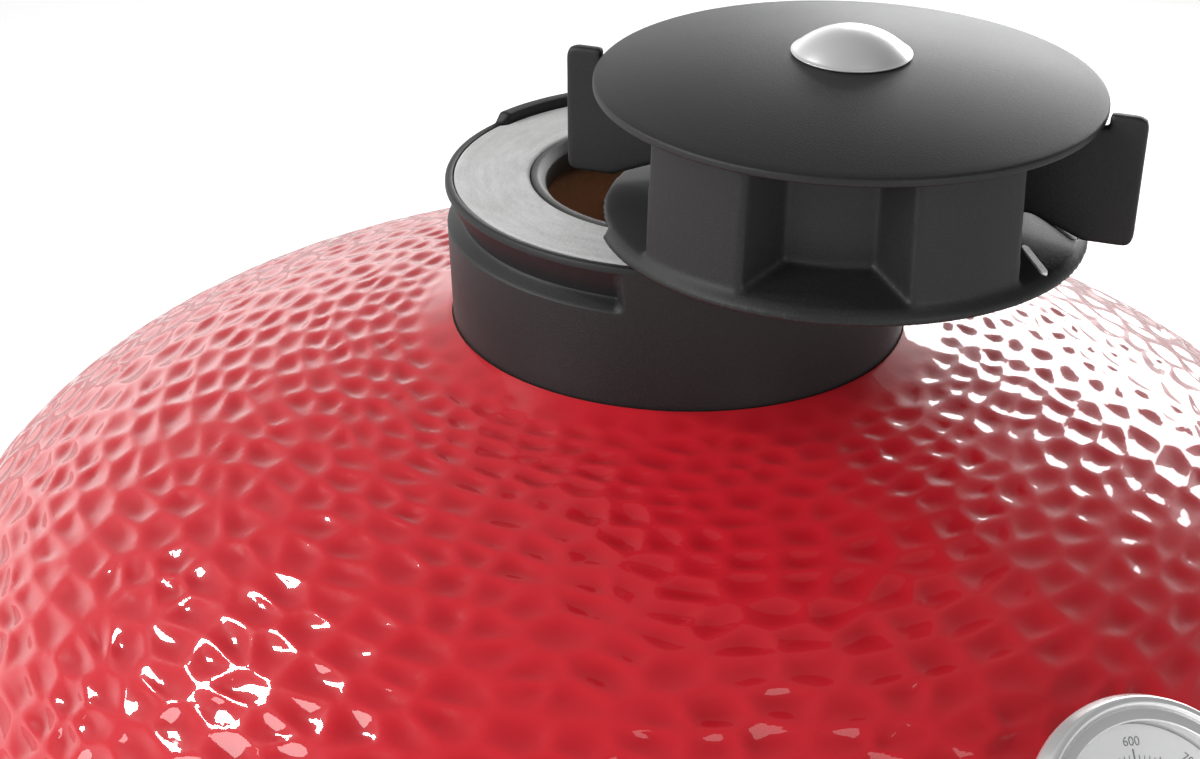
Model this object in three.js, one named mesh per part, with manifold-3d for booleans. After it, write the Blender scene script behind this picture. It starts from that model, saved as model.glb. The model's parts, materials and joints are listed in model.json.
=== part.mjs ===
// Kamado ceramic grill: an insulated ceramic bowl and dome with steel bands, a rear hinge, a handle and
// latch, a dome thermometer, a lower draft port with ash drawer, and a swing-open top vent.
// Millimetres, +Z up, front towards -Y, origin on the ground under the axis of the dome.
// A bearing is an angle about the axis in degrees: 0 is the front (-Y), positive turns towards +X.
import * as THREE from "three";
import { mergeVertices } from "three/addons/utils/BufferGeometryUtils.js";
import Module from "manifold-3d";

const wasm = await Module();
wasm.setup();

// ---- Driving dimensions ----
const RIM_Z = 367; // top of the bowl's ceramic rim
const BODY_RADIUS = 262; // outside of the ceramic at the rim
const GAP = 0.3; // clearance between pieces that rest on each other
const RING_TURNS = 32; // facets round every large ring, so that nested rings stay parallel
const SMALL_TURNS = 24; // facets round the thermometer and the vent's inner sleeve

const BOWL = { floorZ: 42, waistZ: 300, depth: 268, wall: 28, power: 2.7 };
const FOOT = { height: 44, radius: 34, reach: 92 };

const GASKET = { height: 4, width: 22 };
const DOME_Z = RIM_Z + 2 * (GASKET.height + GAP) + GAP; // underside of the dome's rim
const DOME = { shoulderZ: 483, rise: 127.7, wall: 25, neckRadius: 69, flueRadius: 53, neckTopZ: 640 };

const BAND = { height: 38, thickness: 3, rimGap: 6, clampGap: 10 };
const BAND_INNER = BODY_RADIUS + 0.6;
const BAND_OUTER = BAND_INNER + BAND.thickness;

const HINGE = { y: 322, z: 371.5, pinRadius: 5, lugRadius: 14, baseHalf: 66, domeHalf: 54, plate: 5 };
const HINGE_PAD = { depth: 6, innerX: 24, nutX: 40 };
const HANDLE = { y: -318, radius: 18, length: 250, armX: 92 };

const RING = { topZ: 655.8, height: 49.4, topRadius: 78, footRadius: 76, wall: 5, holeRadius: 45 };
const FELT_INNER = 50;
const LIP = { height: 5, halfAngle: 21, depth: 3.6 };
const LIP_INNER = RING.topRadius - 0.6 - LIP.depth;

const TOWER = { rimRadius: 76.3, deckRadius: 73.6, drumRadius: 73, drumHeight: 37.5, draft: 0.85 };
const PIVOT = { bearing: 80, reach: 87.9, boss: 9, boltRadius: 4 };
const TOWER_OPEN = 46; // degrees the tower stands open
const POCKET = { bearing: -86.4, outerHalf: 20, innerHalf: 13.4, floorRadius: 56, spanHalf: 50 };
const DAMPER = { radius: 51, wall: 3, bearing: -5.9, tabThickness: 4 };
const CAP = { radius: 78.5, undersideZ: 48.6, rimZ: 51.4, crownZ: 60.5, nutRadius: 18.6, nutHeight: 7.9 };

const GAUGE = { radius: 40, z: 536, surfaceRadius: 238.7, tilt: 45 };
const PORT = { halfWidth: 88, lowZ: 68, highZ: 148, faceY: -238, passHalf: 66, passLow: 76, passHigh: 128 };

// ---- Finishes ----
const finish = (color, roughness, metalness) =>
  new THREE.MeshStandardMaterial({ color, roughness, metalness });
const glaze = finish(0xb3121c, 0.15, 0);
const castBlack = finish(0x242323, 0.6, 0.3);
const steel = finish(0xb9b9b6, 0.35, 1);
const chrome = finish(0xd8d8d8, 0.08, 1);
const felt = finish(0xb9bab8, 0.95, 0);
const fireClay = finish(0x9c7458, 0.9, 0);
const castIron = finish(0x3a3835, 0.8, 0.4);
const blackPolymer = finish(0x1b1b1c, 0.5, 0);
const dialWhite = finish(0xe8e8e4, 0.6, 0);
const needleRed = finish(0xa01515, 0.5, 0);
const glass = finish(0xeef3f4, 0.05, 0);

// ---- Geometry helpers ----
const radians = THREE.MathUtils.degToRad;

/** A point at a radius and bearing, as [x, y]. */
const polar = (radius, bearing) => {
  const angle = radians(bearing);
  return [radius * Math.sin(angle), -radius * Math.cos(angle)];
};

/** Evenly spaced numbers from a to b, both included. */
const steps = (a, b, count) => Array.from({ length: count + 1 }, (_, i) => a + ((b - a) * i) / count);

const bare = (geometry) => {
  const copy = geometry.clone();
  copy.deleteAttribute("normal");
  copy.deleteAttribute("uv");
  return mergeVertices(copy, 1e-4);
};

const toSolid = (geometry) => {
  const g = bare(geometry);
  const vertProperties = g.attributes.position.array;
  const triVerts = new Uint32Array(g.index.array);
  return new wasm.Manifold(new wasm.Mesh({ numProp: 3, vertProperties, triVerts }));
};

const toGeometry = (solid) => {
  const { vertProperties, triVerts, numProp } = solid.getMesh();
  const corners = new Float32Array((vertProperties.length / numProp) * 3);
  for (let i = 0; i < corners.length / 3; i++) {
    corners.set(vertProperties.subarray(i * numProp, i * numProp + 3), i * 3);
  }
  const g = new THREE.BufferGeometry();
  g.setAttribute("position", new THREE.BufferAttribute(corners, 3));
  return g.setIndex(new THREE.BufferAttribute(new Uint32Array(triVerts), 1));
};

const join = (...pieces) => toGeometry(pieces.map(toSolid).reduce((a, b) => a.add(b)));
const cut = (piece, ...tools) =>
  toGeometry(tools.map(toSolid).reduce((a, b) => a.subtract(b), toSolid(piece)));
const overlap = (a, b) => toGeometry(toSolid(a).intersect(toSolid(b)));

/** A solid of revolution about Z from a closed outline of [radius, z] points, in either order. */
const revolve = (outline, turns = RING_TURNS) => {
  const area = outline.reduce((sum, [r, z], i) => {
    const [r2, z2] = outline[(i + 1) % outline.length];
    return sum + r * z2 - r2 * z;
  }, 0);
  const ordered = area > 0 ? outline : [...outline].reverse();
  const onAxis = ordered.filter(([r]) => r === 0).length;
  let points = ordered;
  if (onAxis) {
    // The profile opens where it runs along the axis, so it starts and ends there.
    const start = ordered.findIndex(([r], i) => r === 0 && ordered[(i + 1) % ordered.length][0] !== 0);
    points = ordered.map((_, i) => ordered[(start + i) % ordered.length]);
  } else {
    points = [...ordered, ordered[0]];
  }
  const lathe = new THREE.LatheGeometry(points.map(([r, z]) => new THREE.Vector2(r, z)), turns);
  return lathe.rotateX(Math.PI / 2);
};

/** A box between two corners. */
const box = ([x0, y0, z0], [x1, y1, z1]) =>
  new THREE.BoxGeometry(x1 - x0, y1 - y0, z1 - z0).translate((x0 + x1) / 2, (y0 + y1) / 2, (z0 + z1) / 2);

/** An upright cylinder. */
const post = (radius, lowZ, highZ, [x, y] = [0, 0], turns = 16) =>
  new THREE.CylinderGeometry(radius, radius, highZ - lowZ, turns)
    .rotateX(Math.PI / 2)
    .translate(x, y, (lowZ + highZ) / 2);

/** A cylinder along X. */
const rodX = (radius, lowX, highX, y, z, turns = 16) =>
  new THREE.CylinderGeometry(radius, radius, highX - lowX, turns)
    .rotateZ(Math.PI / 2)
    .translate((lowX + highX) / 2, y, z);

/** A cylinder along Y. */
const rodY = (radius, lowY, highY, x, z, turns = 20) =>
  new THREE.CylinderGeometry(radius, radius, highY - lowY, turns).translate(x, (lowY + highY) / 2, z);

/** A plan outline of [x, y] points raised from lowZ to highZ. */
const slab = (outline, lowZ, highZ) => {
  const shape = new THREE.Shape(outline.map(([x, y]) => new THREE.Vector2(x, y)));
  const depth = highZ - lowZ;
  return new THREE.ExtrudeGeometry(shape, { depth, bevelEnabled: false }).translate(0, 0, lowZ);
};

/** A wedge of a ring between two bearings. */
const sector = (inner, outer, from, to, lowZ, highZ, count = 8) => {
  const outside = steps(from, to, count).map((b) => polar(outer, b));
  const inside = steps(to, from, count).map((b) => polar(inner, b));
  return slab([...outside, ...inside], lowZ, highZ);
};

const part = (name, geometry, material) => {
  const mesh = new THREE.Mesh(geometry, material);
  mesh.name = name;
  return mesh;
};

// ---- Ceramic profiles ----
/** Radius of the bowl at a height, with its wall drawn in by an inset. */
const bowlRadius = (z, inset = 0) => {
  const share = Math.min(1, Math.max(0, (BOWL.waistZ - z) / (BOWL.depth - inset)));
  return (BODY_RADIUS - inset) * (1 - share ** BOWL.power) ** (1 / BOWL.power);
};

/** Height of the dome's surface at a radius above its shoulder, with its wall drawn in by an inset. */
const domeHeight = (radius, inset = 0) =>
  DOME.shoulderZ + (DOME.rise - inset) * Math.sqrt(Math.max(0, 1 - (radius / (BODY_RADIUS - inset)) ** 2));

const domeCurve = (inset, topRadius, count) =>
  steps(Math.PI / 2, Math.asin(topRadius / (BODY_RADIUS - inset)), count).map((a) => {
    const radius = (BODY_RADIUS - inset) * Math.sin(a);
    return [radius, domeHeight(radius, inset)];
  });

// ---- Bowl and what stands in it ----
function bowlShell() {
  const { floorZ, waistZ, wall } = BOWL;
  const outside = steps(floorZ, waistZ, 6).map((z) => [bowlRadius(z), z]);
  const inside = steps(waistZ, floorZ + wall, 5).map((z) => [bowlRadius(z, wall), z]);
  const vessel = revolve([
    [0, floorZ],
    ...outside,
    [BODY_RADIUS, RIM_Z],
    [BODY_RADIUS - wall, RIM_Z],
    ...inside,
    [0, floorZ + wall],
  ]);
  const { faceY, lowZ, highZ, halfWidth } = PORT;
  const side = [[faceY, highZ], [faceY, lowZ], [-185, 54], [-150, 54], [-150, highZ]];
  // The boss's side outline is in Y and Z; its thickness runs along X.
  const [alongX, alongY, alongZ] = [0, 1, 2].map((i) => new THREE.Vector3().setComponent(i, 1));
  const boss = slab(side, -halfWidth, halfWidth).applyMatrix4(
    new THREE.Matrix4().makeBasis(alongY, alongZ, alongX),
  );
  const hollow = revolve([[0, floorZ + wall], ...[...inside].reverse(), [0, waistZ]]);
  const passage = box([-PORT.passHalf, faceY - 1, PORT.passLow], [PORT.passHalf, -90, PORT.passHigh]);
  return cut(join(vessel, boss), hollow, passage);
}

function foot(bearing) {
  const { radius, height, reach } = FOOT;
  const [x, y] = polar(reach, bearing);
  const outline = [[0, 0], [radius, 0], [radius, 8], [radius - 7, 16], [radius - 7, height], [0, height]];
  const block = revolve(outline, 16).translate(x, y, 0);
  const underBowl = box([-200, -200, BOWL.floorZ - GAP], [200, 200, 100]);
  return cut(block, underBowl);
}

const gasket = (lowZ) => {
  const outer = BODY_RADIUS - 3;
  const inner = outer - GASKET.width;
  const highZ = lowZ + GASKET.height;
  return revolve([[inner, lowZ], [outer, lowZ], [outer, highZ], [inner, highZ]]);
};

const FIREBOX = { bedZ: 140, floorZ: 158, floorRadius: 195, ventRadius: 58 };
const FIREBOX_TOP = { z: 262, outer: 222, inner: 200, ringHeight: 56 };

function fireboxBase() {
  const f = FIREBOX;
  const skirtZ = BOWL.floorZ + BOWL.wall + GAP;
  const funnel = revolve([
    [70, skirtZ],
    [88, skirtZ],
    [145, 100],
    [186, f.bedZ],
    [f.floorRadius, f.floorZ],
    [f.ventRadius, f.floorZ],
    [f.ventRadius, f.bedZ],
    [132, f.bedZ - 4],
    [120, 104],
  ]);
  const drawerBay = box([-PORT.passHalf, -200, 0], [PORT.passHalf, 0, PORT.passHigh]);
  return cut(funnel, drawerBay);
}

const fireboxWall = () =>
  revolve([
    [166, FIREBOX.floorZ + GAP],
    [FIREBOX.floorRadius, FIREBOX.floorZ + GAP],
    [205, 178],
    [216, 220],
    [FIREBOX_TOP.outer, FIREBOX_TOP.z],
    [FIREBOX_TOP.inner, FIREBOX_TOP.z],
    [194, 226],
    [178, 190],
  ]);

const fireRing = () => {
  const { inner, outer, ringHeight } = FIREBOX_TOP;
  const lowZ = FIREBOX_TOP.z + GAP;
  const highZ = lowZ + ringHeight;
  return revolve([[inner, lowZ], [outer, lowZ], [outer, highZ], [inner, highZ]]);
};

function charcoalGrate() {
  const disc = post(112, 160.6, 168.6, [0, 0], 32);
  const slots = [0, 60, 120].flatMap((turn) =>
    [-54, -18, 18, 54].map((offset) =>
      box([offset - 5, 24, 150], [offset + 5, 90 - Math.abs(offset) * 0.4, 180])
        .rotateZ(radians(turn * 2)),
    ),
  );
  return cut(disc, ...slots, post(9, 150, 180, [0, 0], 12));
}

const RACK = { lowZ: 322.4, highZ: 349, radius: 211, wire: 4 };

function cookingRack() {
  const { lowZ, highZ, radius, wire } = RACK;
  const hoop = (z) => new THREE.TorusGeometry(radius, wire, 6, 24).translate(0, 0, z);
  const posts = steps(30, 330, 5).map((b) => post(wire, lowZ, highZ, polar(radius, b), 6));
  return join(hoop(lowZ + 0.4), hoop(highZ), ...posts);
}

/** Half of a disc, on the side of X that the sign gives, with its straight edge a little off the middle. */
const halfMoon = (sign, radius, lowZ, highZ, count = 12) => {
  const start = Math.acos(3 / radius);
  const rim = steps(-start, start, count).map((a) => [sign * radius * Math.cos(a), radius * Math.sin(a)]);
  return slab(sign > 0 ? rim : rim.reverse(), lowZ, highZ);
};

const deflector = (sign) => halfMoon(sign, 203, RACK.lowZ + 5, RACK.lowZ + 19);

function cookingGrate(sign) {
  const radius = 226;
  const [lowZ, highZ] = [353.6, 359.6];
  const rim = cut(halfMoon(sign, radius, lowZ, highZ), halfMoon(sign, radius - 6, 0, 900));
  const spine = box([3, -radius + 2, lowZ], [9, radius - 2, highZ]);
  const bars = steps(-198, 198, 13).map((y) => {
    const end = Math.sqrt((radius - 3) ** 2 - y ** 2);
    return box([6, y - 2, lowZ + 0.5], [end, y + 2, highZ - 0.5]);
  });
  const mirrored = [spine, ...bars].map((g) => (sign > 0 ? g : g.rotateZ(Math.PI)));
  return join(rim, ...mirrored);
}

// ---- Dome ----
function domeShell() {
  const { wall, neckRadius, flueRadius, neckTopZ } = DOME;
  const shell = revolve([
    [BODY_RADIUS, DOME_Z],
    ...domeCurve(0, neckRadius, 8),
    [neckRadius, neckTopZ],
    [flueRadius, neckTopZ],
    ...domeCurve(wall, flueRadius, 6).reverse(),
    [BODY_RADIUS - wall, DOME_Z],
  ]);
  const stemHole = post(6, -60, 60, [0, 0], 12);
  return cut(shell, onGauge(stemHole));
}

/** Turns a shape modelled about Z, with Z out of the dome, to the thermometer's place on its front. */
const onGauge = (geometry) =>
  geometry.rotateX(radians(90 - GAUGE.tilt)).translate(0, -GAUGE.surfaceRadius, GAUGE.z);

// ---- Thermometer, modelled about Z with its back towards the dome ----
const gaugeCase = () => {
  const r = GAUGE.radius;
  const outline = [[3.4, 5], [r - 7, 5], [r - 2, 8], [r, 12], [r, 16], [r - 1.5, 18], [r - 4, 18],
    [r - 5.5, 17], [r - 5.5, 8.5], [3.4, 8.5]];
  return onGauge(revolve(outline, SMALL_TURNS));
};
const gaugeDial = () => onGauge(revolve([[2.6, 9], [34, 9], [34, 10], [2.6, 10]], SMALL_TURNS));
const gaugeLens = () => onGauge(revolve([[0, 14.6], [34, 14.6], [34, 16], [0, 16]], SMALL_TURNS));
const gaugeStem = () => {
  const shaft = post(3, -58, 8.2, [0, 0], 12);
  return onGauge(join(shaft, post(8, 1.2, 4.7, [0, 0], 6)));
};
const gaugeNut = () => onGauge(cut(post(10, -36, -28.6, [0, 0], 6), post(3.4, -40, 0, [0, 0], 12)));
function gaugeNeedle() {
  const blade = slab([[-1.6, -9], [1.6, -9], [0.5, 28], [-0.5, 28]], 11.4, 12.4);
  const hub = post(3.6, 11, 13, [0, 0], 12);
  const spindle = post(2, 8.7, 12, [0, 0], 12);
  return onGauge(join(blade, hub, spindle).rotateZ(radians(150)));
}

// ---- Bands, hinge, handle and latch ----
/** A steel band round the rim, split at the back, with folded clamp ears. */
function clampBand(lowZ) {
  const highZ = lowZ + BAND.height;
  const strip = revolve([[BAND_INNER, lowZ], [BAND_OUTER, lowZ], [BAND_OUTER, highZ], [BAND_INNER, highZ]]);
  const half = BAND.clampGap / 2;
  const split = box([-half, 200, lowZ - 1], [half, 300, highZ + 1]);
  const ear = (side) => box([side * half - (side < 0 ? 4 : 0), BAND_INNER + 0.4, lowZ + 5],
    [side * half + (side > 0 ? 4 : 0), BAND_OUTER + 14, highZ - 5]);
  const boltHole = rodX(3.4, -20, 20, BAND_OUTER + 7, (lowZ + highZ) / 2, 12);
  return cut(join(cut(strip, split), ear(-1), ear(1)), boltHole);
}

const LOWER_BAND_Z = RIM_Z - BAND.rimGap - BAND.height;
const UPPER_BAND_Z = DOME_Z + BAND.rimGap;
const aroundBand = revolve([[0, 200], [BAND_OUTER + GAP, 200], [BAND_OUTER + GAP, 600], [0, 600]]);

const clampBolt = (lowZ) => {
  const z = lowZ + BAND.height / 2;
  const y = BAND_OUTER + 7;
  return join(rodX(3, -18, 10, y, z, 12), rodX(5.5, 9.4, 14, y, z, 6));
};
const clampNut = (lowZ) => {
  const z = lowZ + BAND.height / 2;
  const y = BAND_OUTER + 7;
  return cut(rodX(5.5, -14, -9.4, y, z, 6), rodX(3.4, -30, 0, y, z, 12));
};

/** One side cheek of a hinge bracket: a plate that runs from the band out to the pin. */
function cheek(x, lowZ, highZ) {
  const plate = box([x - HINGE.plate / 2, 240, lowZ], [x + HINGE.plate / 2, HINGE.y, highZ]);
  const lug = rodX(HINGE.lugRadius, x - HINGE.plate / 2, x + HINGE.plate / 2, HINGE.y, HINGE.z);
  return join(plate, lug);
}

/** The two pads of a hinge bracket, which lie against the band out to a half width. */
const hingePads = (half, lowZ, highZ) => {
  const { depth, innerX } = HINGE_PAD;
  return [[-half, -innerX], [innerX, half]].map(([from, to]) =>
    box([from, 250, lowZ], [to, BAND_OUTER + depth, highZ]),
  );
};

function hingeBaseBracket() {
  const x = HINGE.baseHalf;
  const lowZ = LOWER_BAND_Z + 1;
  const highZ = LOWER_BAND_Z + BAND.height - 1;
  const pads = hingePads(x, lowZ, highZ);
  const beam = box([-x, HINGE.y - 34, lowZ], [x, HINGE.y - 29, highZ]);
  const pinHole = rodX(HINGE.pinRadius + GAP, -100, 100, HINGE.y, HINGE.z);
  return cut(join(cheek(x, lowZ, highZ), cheek(-x, lowZ, highZ), beam, ...pads), aroundBand, pinHole);
}

function hingeDomeBracket() {
  const x = HINGE.domeHalf;
  const lowZ = UPPER_BAND_Z + 1;
  const highZ = UPPER_BAND_Z + BAND.height - 1;
  const pads = hingePads(x, lowZ, highZ);
  const beam = box([-x, HINGE.y - 36, lowZ + 6], [x, HINGE.y - 31, highZ]);
  const pinHole = rodX(HINGE.pinRadius + GAP, -100, 100, HINGE.y, HINGE.z);
  return cut(join(cheek(x, HINGE.z, highZ), cheek(-x, HINGE.z, highZ), beam, ...pads), aroundBand, pinHole);
}

const hingePin = () => {
  const end = HINGE.baseHalf + HINGE.plate / 2 + GAP;
  const shaft = rodX(HINGE.pinRadius, -end - 3, end + 3, HINGE.y, HINGE.z);
  const heads = [[-end - 4, -end], [end, end + 4]].map(([a, b]) => rodX(8, a, b, HINGE.y, HINGE.z));
  return join(shaft, ...heads);
};

/** The counterbalance spring: a coil wound round the hinge pin. */
class CoilCurve extends THREE.Curve {
  constructor(side, turns) {
    super();
    Object.assign(this, { side, turns });
  }
  getPoint(t) {
    const angle = t * this.turns * 2 * Math.PI;
    const x = this.side * (10 + 32 * t);
    return new THREE.Vector3(x, HINGE.y + 9 * Math.cos(angle), HINGE.z + 9 * Math.sin(angle));
  }
}
function torsionSpring(side) {
  const wire = new THREE.Shape(steps(0, 288, 4).map((b) => new THREE.Vector2(...polar(1.6, b + 90))));
  const turns = 4;
  return new THREE.ExtrudeGeometry(wire, { steps: turns * 9, extrudePath: new CoilCurve(side, turns) });
}

function handleGrip() {
  const { radius, length } = HANDLE;
  const half = length / 2;
  const outline = [[0, -half], [radius - 7, -half], [radius - 2, -half + 5], [radius, -half + 14],
    [radius, half - 14], [radius - 2, half - 5], [radius - 7, half], [0, half]];
  return revolve(outline, 16).rotateY(Math.PI / 2).translate(0, HANDLE.y, UPPER_BAND_Z + BAND.height / 2);
}

function handleArm(side) {
  const x = side * HANDLE.armX;
  const z = UPPER_BAND_Z + BAND.height / 2;
  const seat = HANDLE.y + HANDLE.radius + GAP;
  const arm = box([x - 8, seat, z - 8], [x + 8, -235, z + 8]);
  const pad = box([x - 20, -BAND_OUTER - 1, z - 16], [x + 20, -235, z + 16]);
  const face = BAND_OUTER + 4.5;
  const padFace = revolve([[0, z - 16], [face, z - 16], [face, z + 16], [0, z + 16]]);
  return cut(join(arm, overlap(pad, padFace)), aroundBand);
}

/** An acorn nut standing on a hinge bracket's pad, pointing away from the grill. */
function acornNut(side, bandZ) {
  const outline = [[0, 0], [6, 0], [6, 4.5], [4, 8.5], [0, 10.2]];
  return revolve(outline, 8)
    .rotateX(-Math.PI / 2)
    .translate(side * HINGE_PAD.nutX, BAND_OUTER + HINGE_PAD.depth + GAP, bandZ + BAND.height / 2);
}

const LATCH = { pinZ: UPPER_BAND_Z + 8, pinY: -BAND_OUTER - 9, width: 22, swing: 25 };

function latchBracket() {
  const { pinZ, pinY, width } = LATCH;
  const half = width / 2 + 3.4;
  const plate = box([-half, -BAND_OUTER - 3, pinZ - 7], [half, -250, pinZ + 16]);
  const lugs = [-1, 1].map((s) => {
    const [a, b] = s > 0 ? [half - 3, half] : [-half, -half + 3];
    return join(box([a, pinY, pinZ - 6], [b, -250, pinZ + 6]), rodX(6, a, b, pinY, pinZ, 16));
  });
  return cut(join(plate, ...lugs), aroundBand, rodX(2.5 + GAP, -40, 40, pinY, pinZ, 12));
}

const latchPin = () => {
  const { pinY, pinZ, width } = LATCH;
  const end = width / 2 + 3.4 + GAP;
  const shaft = rodX(2.5, -end - 1, end + 1, pinY, pinZ, 12);
  const heads = [[-end - 2, -end], [end, end + 2]].map(([a, b]) => rodX(4, a, b, pinY, pinZ, 12));
  return join(shaft, ...heads);
};

/** The latch lever hangs from its pin, clear of the keeper; its hook turns in under it when it closes. */
function latchLever() {
  const { pinZ, pinY, width } = LATCH;
  const half = width / 2;
  const eye = rodX(5, -half, half, pinY, pinZ, 16);
  const blade = box([-half, pinY - 4, pinZ - 46], [half, pinY - 1, pinZ]);
  const hook = box([-half, pinY - 4, pinZ - 46], [half, pinY + 4, pinZ - 43]);
  const thumb = box([-half, pinY - 14, pinZ - 58], [half, pinY - 11, pinZ - 44]);
  const step = box([-half, pinY - 14, pinZ - 46], [half, pinY - 2, pinZ - 43]);
  const lever = cut(join(eye, blade, hook, step, thumb), rodX(2.5 + GAP, -40, 40, pinY, pinZ, 12));
  return lever
    .translate(0, -pinY, -pinZ)
    .rotateX(radians(-LATCH.swing))
    .translate(0, pinY, pinZ);
}

function latchKeeper() {
  const z = LATCH.pinZ - 42;
  const half = LATCH.width / 2;
  const plate = box([-half - 4, -BAND_OUTER - 3, z - 12], [half + 4, -250, z + 12]);
  const catchBar = box([-half + 1, -BAND_OUTER - 9.4, z], [half - 1, -250, z + 4]);
  return cut(join(plate, catchBar), aroundBand);
}

// ---- Draft port and ash drawer ----
function draftFrame() {
  const { halfWidth, lowZ, highZ, faceY, passHalf, passLow, passHigh } = PORT;
  const y = faceY - GAP;
  const plate = box([-halfWidth + 2, y - 4, lowZ + 2], [halfWidth - 2, y, highZ - 2]);
  const tongue = box([-passHalf + 0.5, y - 4, passLow + 0.5], [passHalf - 0.5, y + 34, passHigh - 0.5]);
  const opening = box([-passHalf + 3, y - 10, passLow + 3], [passHalf - 3, y + 60, passHigh - 3]);
  return cut(join(plate, tongue), opening);
}

const DRAWER = { half: 62, lowZ: 79.6, highZ: 122, frontY: PORT.faceY - 2 * GAP - 4, backY: -96 };
const DRAFT_HALF = 40; // half the width of the draft slot in the drawer's face

function ashDrawer() {
  const { half, lowZ, highZ, frontY, backY } = DRAWER;
  const tray = box([-half, frontY, lowZ], [half, backY, 106]);
  const inside = box([-half + 2, frontY + 2, lowZ + 2], [half - 2, backY - 2, 200]);
  const face = box([-half - 8, frontY - 3, lowZ - 4], [half + 8, frontY, highZ + 6]);
  const rail = (z) => box([-half - 6, frontY - 7, z], [half + 6, frontY - 2, z + 4]);
  const lip = (z) => box([-half - 6, frontY - 9, z], [half + 6, frontY - 6.4, z + 8]);
  const rails = [rail(lowZ - 2), rail(highZ - 1), lip(lowZ - 2), lip(highZ - 6)];
  const draft = box([-DRAFT_HALF, frontY - 20, lowZ + 10], [DRAFT_HALF, frontY + 1, highZ - 8]);
  return cut(join(cut(tray, inside), face, ...rails), draft);
}

function emberScreen() {
  const { frontY, lowZ } = DRAWER;
  const y = frontY + GAP;
  const sheet = box([-DRAFT_HALF - 4, y + 2, lowZ + 7], [DRAFT_HALF + 4, y + 3.2, 105]);
  const holes = steps(-36, 36, 8).flatMap((x) =>
    [94, 100].map((z) => box([x - 2.6, y, z - 2], [x + 2.6, y + 6, z + 2])),
  );
  return cut(sheet, ...holes);
}

function draftDoor() {
  const { frontY, lowZ, highZ } = DRAWER;
  const y = frontY - 3 - GAP;
  return box([-DRAFT_HALF - 14, y - 2, lowZ + 3.4], [DRAFT_HALF - 34, y, highZ - 2.4]);
}

function draftKnob() {
  const { frontY, lowZ, highZ } = DRAWER;
  const outline = [[0, 0], [5, 0], [5, 5], [9, 8], [9, 13], [7, 15], [0, 15]];
  return revolve(outline, 12)
    .rotateX(Math.PI / 2)
    .translate(-DRAFT_HALF + 22, frontY - 3 - GAP - 2 - GAP, (lowZ + highZ) / 2);
}

// ---- Top vent: heights below are above the top of the vent ring ----
function ventRing() {
  const { topRadius, footRadius, height, wall, holeRadius } = RING;
  const casting = revolve([
    [footRadius - wall, -height],
    [footRadius, -height],
    [topRadius, -2],
    [topRadius - 0.6, 0],
    [topRadius - 2.4, 0],
    [topRadius - 2.4, -2.4],
    [FELT_INNER, -2.4],
    [FELT_INNER, 0],
    [holeRadius + 2.5, 0],
    [holeRadius, -2.5],
    [holeRadius, -9],
    [footRadius - wall, -9],
  ]);
  // Finger grips on both sides: the wall leans in below the rim and steps back out at a ledge.
  const grip = (bearing) => {
    const groove = revolve([[topRadius - 0.2, -2.6], [topRadius + 6, -2.6], [topRadius + 6, -16],
      [topRadius - 0.8, -16], [topRadius - 5, -13]]);
    return overlap(groove, sector(40, 120, bearing - 42.4, bearing + 42.4, -30, 5, 10));
  };
  const half = LIP.halfAngle;
  const lip = sector(LIP_INNER, topRadius - 0.6, 180 - half, 180 + half, -1, LIP.height);
  const [px, py] = polar(PIVOT.reach, PIVOT.bearing);
  const ear = join(pivotArm(topRadius - 2.4, 14, -16, -GAP), post(PIVOT.boss, -16, -GAP, [px, py]));
  const boltHole = post(PIVOT.boltRadius + GAP, -60, 20, [px, py], 16);
  return cut(join(cut(casting, grip(90), grip(-90)), lip, ear), boltHole);
}

/** The arm of a pivot ear: it runs out from a radius, along the pivot's bearing. */
const pivotArm = (from, length, lowZ, highZ) =>
  box([-7, -from - length, lowZ], [7, -from, highZ]).rotateZ(radians(PIVOT.bearing));

function ventFelt() {
  const [inner, outer] = [FELT_INNER + GAP, RING.topRadius - 2.7];
  const pad = revolve([[inner, -2.1], [outer, -2.1], [outer, -0.1], [inner, -0.1]]);
  const half = LIP.halfAngle + 1;
  return cut(pad, sector(LIP_INNER - GAP, 90, 180 - half, 180 + half, -5, 5));
}

/** Felt sleeve between the chimney neck and the vent ring. */
const neckSleeve = () => {
  const inner = DOME.neckRadius + GAP;
  const outer = RING.footRadius - RING.wall - GAP;
  return revolve([[inner, -42], [outer, -42], [outer, -15.5], [inner, -15.5]]);
};

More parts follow.
